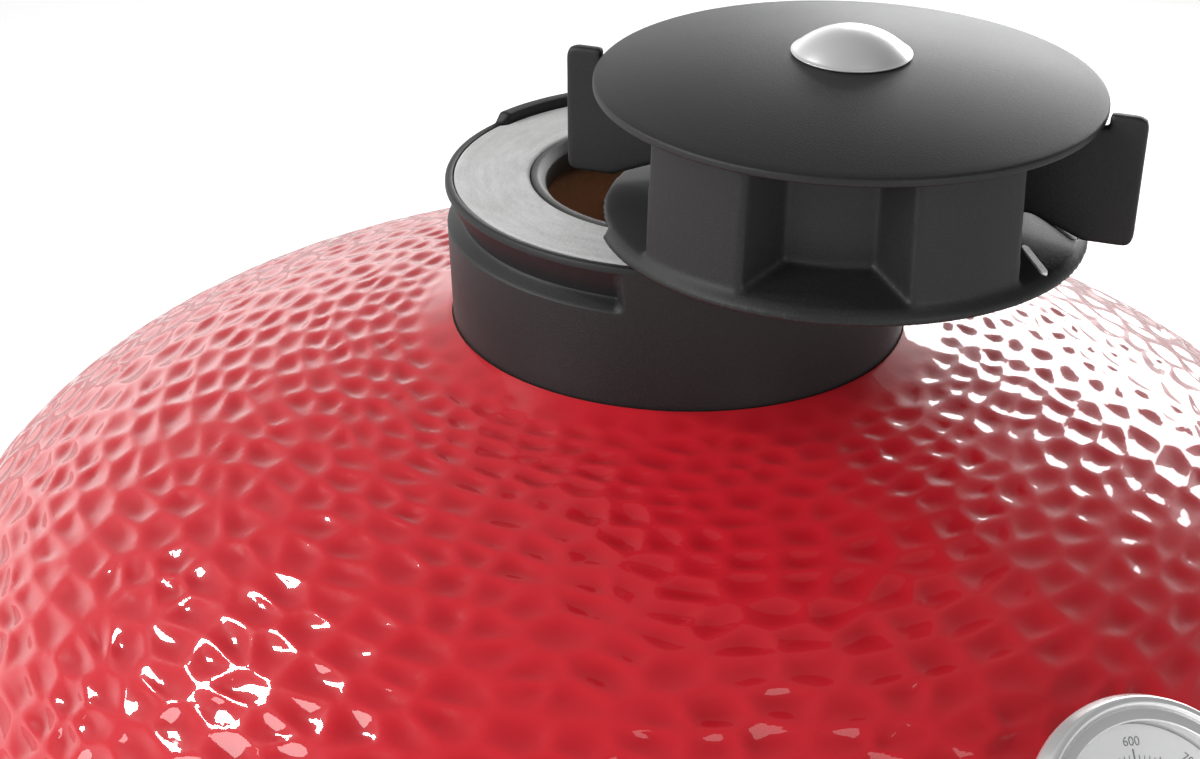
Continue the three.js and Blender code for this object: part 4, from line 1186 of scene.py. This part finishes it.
def tower_cap():
    """The shallow cap: a spherical top from under the nut to a thin rim, hollow below."""
    rim, nut, low_z, rim_z, crown_z, curve = 78.5, 18.6, 48.6, 51.4, 60.5, 318.0
    centre = crown_z - math.sqrt(curve**2 - nut**2)
    dome = [(r, centre + math.sqrt(curve**2 - r**2)) for r in np.linspace(nut, 77.2, 26)]
    outline = [
        (4.4, 56.5), (4.4, crown_z), *dome, (rim, rim_z - 0.35, 1.1), (rim, low_z, 0.9), (75.5, low_z, 1),
        (72, low_z + 0.6, 2), (40, 52.5), (8, 56.5),
    ]
    fit(turned(lathe("tower_cap_casting", outline, BLACK, 240, sharp=50), ON_TOWER), "tower_cap")


def cap_nut():
    radius, height, base = 18.6, 7.9, 60.8
    sphere = (radius**2 + height**2) / (2 * height)
    angles = np.linspace(0, math.asin((radius - 0.5) / sphere), 24)
    dome = [(sphere * math.sin(a), base + height - sphere * (1 - math.cos(a))) for a in angles]
    foot = [(radius, base + 0.45, 0.3), (radius - 0.3, base), (4.5, base), (4.5, base + 4), (0, base + 4)]
    fit(turned(lathe("cap_nut_dome", dome + foot, CHROME, 160, sharp=50), ON_TOWER), "cap_nut")


def vent_fasteners():
    """The swing pivot's bolt and nut, the bolt through the tower, and the felt between neck and ring."""
    shaft = spun("shaft", [(0, -24, 0), (3.2, -24), (4, -23.2), (4, 9), (0, 9)], PIVOT, STEEL)
    head = hexagon("head", 8, 8.3, 13, PIVOT, STEEL)
    fit(turned(merged("vent_pivot_bolt_turned", [shaft, head]), ON_RING), "vent_pivot_bolt")
    fit(turned(hexagon("vent_pivot_nut_hex", 8, -22.6, -16.3, PIVOT, STEEL), ON_RING), "vent_pivot_nut")
    shaft = lathe("shaft", [(0, 3), (3.4, 3), (4, 3.6), (4, 63), (3.5, 63.5), (0, 63.5)], STEEL, 48)
    head = hexagon("head", 8, 3, 7.7, CENTRE, STEEL)
    fit(turned(merged("tower_bolt_turned", [shaft, head]), ON_TOWER), "tower_bolt")
    sleeve = [(69.3, -42, 0.4), (70.6, -42, 0.4), (70.6, -15.5, 0.4), (69.3, -15.5, 0.4)]
    fit(turned(lathe("neck_sleeve_felt", sleeve, RIM_FELT, 160), ON_RING), "neck_sleeve")


# ---- Thermometer, modelled about Z with its face up, then tilted onto the dome ----
ON_GAUGE = at(*GAUGE_CENTRE) @ about("X", GAUGE_TILT)
DIAL_STEP = 40.0  # degrees for each hundred on the dial
DIAL_LEAN = 14.0  # degrees that 600 stands past the top
NEEDLE_TURN = 150.0  # degrees that the needle of a cold grill stands from the top
INK_LOW, INK_HIGH = 10.02, 10.12
TICKS_IN, LINE_IN, LINE_OUT, NUMBERS_AT = 23.2, 23.0, 23.35, 28.9


def dial_turn(number):
    """Where a number stands on the dial, in degrees clockwise from the top."""
    return DIAL_LEAN + DIAL_STEP * (number - 600) / 100


def gauge_marks():
    """Generic numbers, ticks and an arc, printed on the dial."""
    marks = []
    first, last = 200, 900
    for number in range(first, last + 1, 10):
        turn = about("Z", -dial_turn(number))
        major, middle = number % 100 == 0, number % 50 == 0
        half, outer = (0.26, 26.8) if major else (0.16, 25.6) if middle else (0.11, 25.0)
        edge = [(-half, TICKS_IN), (half, TICKS_IN), (half, outer), (-half, outer)]
        marks.append(turned(make_object("tick", *slab_mesh(edge, INK_LOW, INK_HIGH), INK), turn))
        if major:
            marks.append(turned(dial_number(str(number)), turn @ at(0, NUMBERS_AT, INK_LOW)))
    line = [(LINE_IN, INK_LOW), (LINE_OUT, INK_LOW), (LINE_OUT, INK_HIGH), (LINE_IN, INK_HIGH)]
    marks.append(swept("dial_line", line, 180 - dial_turn(last), 180 - dial_turn(first), 120, INK))
    return merged("dial_marks", marks)


def dial_number(text):
    curve = bpy.data.curves.new("number", "FONT")
    curve.body, curve.size, curve.extrude = text, 3.9 * MM, 0.05 * MM
    curve.align_x, curve.align_y = "CENTER", "CENTER"
    return from_curve("number", curve, INK)


def gauge():
    """The thermometer: bezel, dial, lens, needle, and the probe and nut inside the dome."""
    bezel = [
        (3.4, 5, 0.3), (33, 5, 1), (39, 8, 2), (41.7, 10.6, 1.2), (42, 13, 1.6), (40.2, 17.6, 2),
        (38.2, 17.8, 1), (37.2, 16.2, 0.3), (36.8, 16.9, 0.4), (33.6, 16.9, 0.4), (33.2, 16.25, 0.2),
        (34.4, 16.2), (34.5, 8.5), (3.4, 8.5),
    ]
    fit(turned(lathe("gauge_bezel", bezel, GAUGE_STEEL, 200, 6, 35), ON_GAUGE), "gauge_case")
    face = lathe("face", [(2.6, 9), (34, 9), (34, 10, 0.2), (2.6, 10)], DIAL, 160)
    fit(turned(merged("gauge_dial_face", [face, gauge_marks()]), ON_GAUGE), "gauge_dial")
    lens = [(0, 14.6), (34, 14.6, 0.3), (34, 15.8, 0.4), (20, 16), (0, 16)]
    fit(turned(lathe("gauge_lens_glass", lens, GLASS, 120), ON_GAUGE), "gauge_lens")
    edge = [(-0.8, -9, 0.4), (0.8, -9, 0.4), (1.3, -2), (0.25, 22, 0.1), (-0.25, 22, 0.1), (-1.3, -2)]
    blade = plate("blade", edge, 11.6, 12.3, NEEDLE, bevel=0.12)
    boss = lathe("boss", [(0, 11), (3.6, 11, 0.3), (3.6, 12.4, 0.6), (2.4, 13, 0.5), (0, 13)], NEEDLE, 48)
    spindle = lathe("spindle", [(0, 8.7), (1.6, 8.7), (1.6, 12), (0, 12)], NEEDLE, 24)
    needle = merged("gauge_needle_blade", [blade, boss, spindle])
    fit(turned(needle, ON_GAUGE @ about("Z", NEEDLE_TURN)), "gauge_needle")
    shaft = lathe("shaft", [(0, -58), (1.6, -58), (3, -55.5, 1), (3, 8.2), (0, 8.2)], STEEL, 40)
    flats = hexagon("flats", 8, 1.2, 4.7, CENTRE, STEEL)
    fit(turned(merged("gauge_stem_probe", [shaft, flats]), ON_GAUGE), "gauge_stem")
    fit(turned(hexagon("gauge_nut_hex", 10, -36, -28.6, CENTRE, STEEL), ON_GAUGE), "gauge_nut")


# ---- Bands, hinge, handle and latch ----
BAND_OUTER = high("upper_band").x
BAND_INNER = BAND_OUTER - 3
SPLIT_HALF = 5.0  # half of the gap between a band's clamp ears
ARM_X, ARM_HALF, GRIP_RADIUS = 92.0, 7.9, 18.0
COIL_RADIUS, COIL_WIRE, COIL_TURNS, COIL_START, COIL_LENGTH = 9, 1.6, 9, 10, 32


def band(node):
    """A steel band with two pressed lines, split at the back between its folded clamp ears."""
    low_z, high_z = low(node).z, high(node).z
    gap = math.degrees(math.asin(SPLIT_HALF / BAND_OUTER))
    outline = [(BAND_INNER, low_z, 0.5), (BAND_OUTER, low_z, 1.2)]
    pressed = BAND_OUTER - 0.7
    for z in (low_z + 5, high_z - 6.6):
        outline += [(BAND_OUTER, z, 0.4), (pressed, z + 0.5, 0.3)]
        outline += [(pressed, z + 1.1, 0.3), (BAND_OUTER, z + 1.6, 0.4)]
    outline += [(BAND_OUTER, high_z, 1.2), (BAND_INNER, high_z, 0.5)]
    parts = [swept("strip", outline, gap - 180, 180 - gap, 400, BAND_STEEL)]
    root, tip = BAND_INNER + 0.4, BAND_OUTER + 14
    edge = [(root, low_z + 5, 1), (tip, low_z + 5, 5), (tip, high_z - 5, 5), (root, high_z - 5, 1)]
    for start, end in ((-SPLIT_HALF - 4, -SPLIT_HALF), (SPLIT_HALF, SPLIT_HALF + 4)):
        parts.append(plate("ear", edge, start, end, BAND_STEEL, "X", 0.7))
    fit(merged(node + "_rolled", parts), node)
    place = (0, BAND_OUTER + 7, (low_z + high_z) / 2)
    shaft = spun("shaft", [(0, -18), (2.4, -18), (3, -17.4), (3, 10), (0, 10)], place, STEEL, "X", 32)
    head = hexagon("head", 5.5, 9.4, 14, place, STEEL, "X")
    fit(merged(node + "_bolt_hex", [shaft, head]), node + "_bolt")
    fit(hexagon(node + "_nut_hex", 5.5, -14, -9.4, place, STEEL, "X"), node + "_nut")


def acorn_nut(node):
    """A domed nut standing on a hinge bracket's pad."""
    x, _, z = between(node)
    place = (x, low(node).y, z)
    base = hexagon("base", 6, 0, 4.4, place, CHROME, "Y")
    dome = [(4.7 * math.cos(t), 4.2 + 5.9 * math.sin(t)) for t in np.linspace(0, math.pi / 2, 12)]
    crown = spun("crown", [(0, 3), (4.7, 3), *dome[:-1], (0, 10.1)], place, CHROME, "Y", 40)
    fit(merged(node + "_acorn", [base, crown]), node)


def torsion_spring(node, side):
    """A close coil round the hinge pin."""
    count = 28 * COIL_TURNS
    points = []
    for k in range(count + 1):
        share = k / count
        a = 2 * math.pi * COIL_TURNS * share
        x = side * (COIL_START + COIL_LENGTH * share)
        points.append((x, PIN_AXIS.y + COIL_RADIUS * math.cos(a), PIN_AXIS.z + COIL_RADIUS * math.sin(a)))
    fit(tube(node + "_wire", points, COIL_WIRE, SPRING), node)


def hinge():
    for node in ("hinge_base_bracket", "hinge_dome_bracket"):
        refined(node, PLATE_STEEL, 1.2)
    end = high("hinge_pin").x
    half = [(0, end), (6.6, end, 0.8), (8, end - 1.2, 0.6), (8, end - 4, 0.3), (5, end - 4, 0.2)]
    place = (0, PIN_AXIS.y, PIN_AXIS.z)
    fit(spun("hinge_pin_turned", mirrored(half), place, STEEL, "X", 64), "hinge_pin")
    torsion_spring("torsion_spring_left", -1)
    torsion_spring("torsion_spring_right", 1)
    for level in ("lower", "upper"):
        for side in ("left", "right"):
            acorn_nut(f"hinge_nut_{level}_{side}")


def handle():
    """A turned grip with ribbed ends and steel caps, on two arms that are bolted on through curved pads."""
    grip = "handle_grip"
    half, radius = high(grip).x, GRIP_RADIUS
    _, y, z = between(grip)
    outline = [(0, half - 1), (radius - 4.6, half - 1), (radius - 2, half - 6), (radius - 0.4, half - 12)]
    for k in range(4):
        x = half - 14 - 4.4 * k
        ridge, groove = radius - 0.1, radius - 1.2
        outline += [(ridge, x, 0.4), (groove, x - 1.2, 0.3), (groove, x - 2, 0.3), (ridge, x - 3.2, 0.4)]
    outline += [(radius - 0.5, half - 36), (radius, half * 0.35)]
    parts = [spun("body", mirrored(outline), (0, y, z), GRIP, "X", 96)]
    for side in (-1, 1):
        edge = radius - 5
        cap = [(0, half - 3), (edge, half - 3), (edge, half - 0.6, 1), (edge - 3, half, 1), (0, half)]
        cap = [(r, side * x, *rest) for r, x, *rest in cap][::side]
        parts.append(spun("cap", cap, (0, y, z), STEEL, "X"))
    fit(merged("handle_grip_turned", parts), grip)
    for side, name in ((-1, "left"), (1, "right")):
        bearing = side * math.degrees(math.asin(ARM_X / (BAND_OUTER + 2)))
        inner, outer, foot, top = BAND_OUTER + 0.35, BAND_OUTER + 4.4, z - 15.8, z + 15.8
        pad = [(inner, foot, 0.6), (outer, foot, 1.4), (outer, top, 1.4), (inner, top, 0.6)]
        parts = [swept("pad", pad, bearing - 4.4, bearing + 4.4, 24, PLATE_STEEL)]
        seat, foot, top = y + radius + 0.3, z - ARM_HALF, z + ARM_HALF
        side_view = [
            (-250, z - 8), (-258, z - 8), (-266, foot, 6), (seat, foot, 1.5),
            (seat, top, 1.5), (-266, top, 6), (-258, z + 8), (-250, z + 8),
        ]
        middle = side * ARM_X
        parts.append(plate("arm", side_view, middle - ARM_HALF, middle + ARM_HALF, PLATE_STEEL, "X", 2.2, 4))
        for x in (-14, 14):
            there = bearing + math.degrees(x / BAND_OUTER)
            section = [(0, 0), (3.2, 0, 0.3), (2.9, 1.2, 0.5), (1.7, 1.6, 0.2), (1.5, 0.8), (0, 0.8)]
            aim = at(*polar(BAND_OUTER + 4.2, there), z) @ about("Z", there) @ about("X", 90)
            parts.append(turned(lathe("screw", section, STEEL, 32), aim))
        fit(merged(f"handle_arm_{name}_forged", parts), f"handle_arm_{name}")


def latch():
    for node in ("latch_bracket", "latch_lever", "latch_keeper"):
        refined(node, PLATE_STEEL, 0.7)
    end = high("latch_pin").x
    _, y, z = between("latch_pin")
    half = [(0, end), (3.2, end, 0.5), (4, end - 0.8, 0.4), (4, end - 2), (2.5, end - 2)]
    fit(spun("latch_pin_turned", mirrored(half), (0, y, z), STEEL, "X", 40), "latch_pin")


# ---- Rim seals, feet and the ceramics inside ----
def ring_piece(name, node, inner, outer, material, fillet):
    """A plain ring between two radii with rounded edges, as high as its CAD node."""
    foot, top = low(node).z, high(node).z
    outline = [(inner, foot, fillet), (outer, foot, fillet), (outer, top, fillet), (inner, top, fillet)]
    fit(lathe(name, outline, material, 200), node)


def inside():
    """The rim felts, the firebox and its ring and grate, and the feet under the bowl."""
    for node in ("bowl_gasket", "dome_gasket"):
        ring_piece(node + "_felt", node, 237, 259, RIM_FELT, 1.6)
    ring_piece("fire_ring_turned", "fire_ring", 200, 222, CLAY, 4)
    wall = [
        (166, 158.3, 2), (195, 158.3, 2), (205, 178), (216, 220),
        (222, 262, 2), (200, 262, 3), (194, 226), (178, 190),
    ]
    fit(lathe("firebox_wall_turned", wall, CLAY, 200), "firebox_wall")
    refined("firebox_base", CLAY, 2.5)
    for k in (1, 2, 3):
        node = f"foot_{k}"
        x, y, _ = between(node)
        outline = [(0, 0), (34, 0, 2), (34, 8, 3), (27, 16, 5), (27, 41.7, 1), (0, 41.7)]
        fit(spun(node + "_turned", outline, (x, y, 0), PALE_CLAY, turns=96), node)
    refined("charcoal_grate", IRON, 1.2)


RACK_RADIUS, GRATE_RADIUS, GRATE_INSET, GRATE_BARS = 211, 223, 6, 29


def half_moon(radius, inset, side):
    """Half a disc on the left (-1) or right (1) of the middle, its straight edge at the inset."""
    start = math.acos(inset / radius)
    angles = np.linspace(-start, start, 64)
    return [(side * radius * math.cos(a), radius * math.sin(a)) for a in angles][::side]


def grates():
    """The wire rack, and on it the two deflector stones and the two half grates."""
    rack = "cooking_rack"
    foot, top = low(rack).z, high(rack).z
    hoop = [polar(RACK_RADIUS, b) for b in range(0, 360, 4)]
    parts = [tube("hoop", [(*p, z) for p in hoop], 4, WIRE_STEEL, 16, True) for z in (foot + 4, top - 4)]
    for bearing in range(30, 360, 60):
        post = [(*polar(RACK_RADIUS, bearing), z) for z in (foot + 3, top - 3)]
        parts.append(tube("post", post, 3.6, WIRE_STEEL, 16))
    fit(merged("cooking_rack_wire", parts), rack)
    for side, name in ((-1, "left"), (1, "right")):
        node = f"deflector_{name}"
        form = {"bevel": 2.5, "segments": 4}
        slab = plate(node + "_slab", half_moon(203, 3, side), low(node).z, high(node).z, PALE_CLAY, **form)
        fit(slab, node)
        node = f"cooking_grate_{name}"
        z = between(node)[2]
        rim = [(x, y, z) for x, y in half_moon(GRATE_RADIUS, GRATE_INSET, side)]
        parts = [tube("rim", rim, 3, WIRE_STEEL, 16, True)]
        for y in np.linspace(-208, 208, GRATE_BARS):
            end = math.sqrt((GRATE_RADIUS - 1) ** 2 - y**2)
            bar = [(side * x, y, z + 0.6) for x in (GRATE_INSET, end)]
            parts.append(tube("bar", bar, 2.2, WIRE_STEEL))
        fit(merged(node + "_wire", parts), node)


# ---- Draft port and ash drawer ----
def draft():
    refined("draft_frame", PLATE_STEEL, 0.9)
    refined("ash_drawer", STEEL, 0.7)
    refined("ember_screen", PLATE_STEEL, 0.25, 2)
    a, b = low("draft_door"), high("draft_door")
    outline = [(a.x, a.z, 2.5), (b.x, a.z, 2.5), (b.x, b.z, 2.5), (a.x, b.z, 2.5)]
    fit(plate("draft_door_sheet", outline, a.y, b.y, STEEL, "Y", 0.4), "draft_door")
    outline = [
        (0, 0), (5, 0), (5, 4.5, 1.5), (9, 7.6, 1.5),
        (9, 13, 1.2), (7.4, 14.8, 0.8), (5, 14.2, 0.6), (0, 13.8),
    ]
    knob = lathe("draft_knob_turned", outline, GRIP, 72)
    x, _, z = between("draft_knob")
    fit(turned(knob, at(x, high("draft_knob").y, z) @ about("X", 90)), "draft_knob")


# ---- Assembly ----
for make in (dome_shell, bowl_shell, vent_ring, vent_felt, tower_body, damper, tower_cap, cap_nut):
    make()
vent_fasteners()
gauge()
for node in ("upper_band", "lower_band"):
    band(node)
for make in (hinge, handle, latch, inside, grates, draft):
    make()
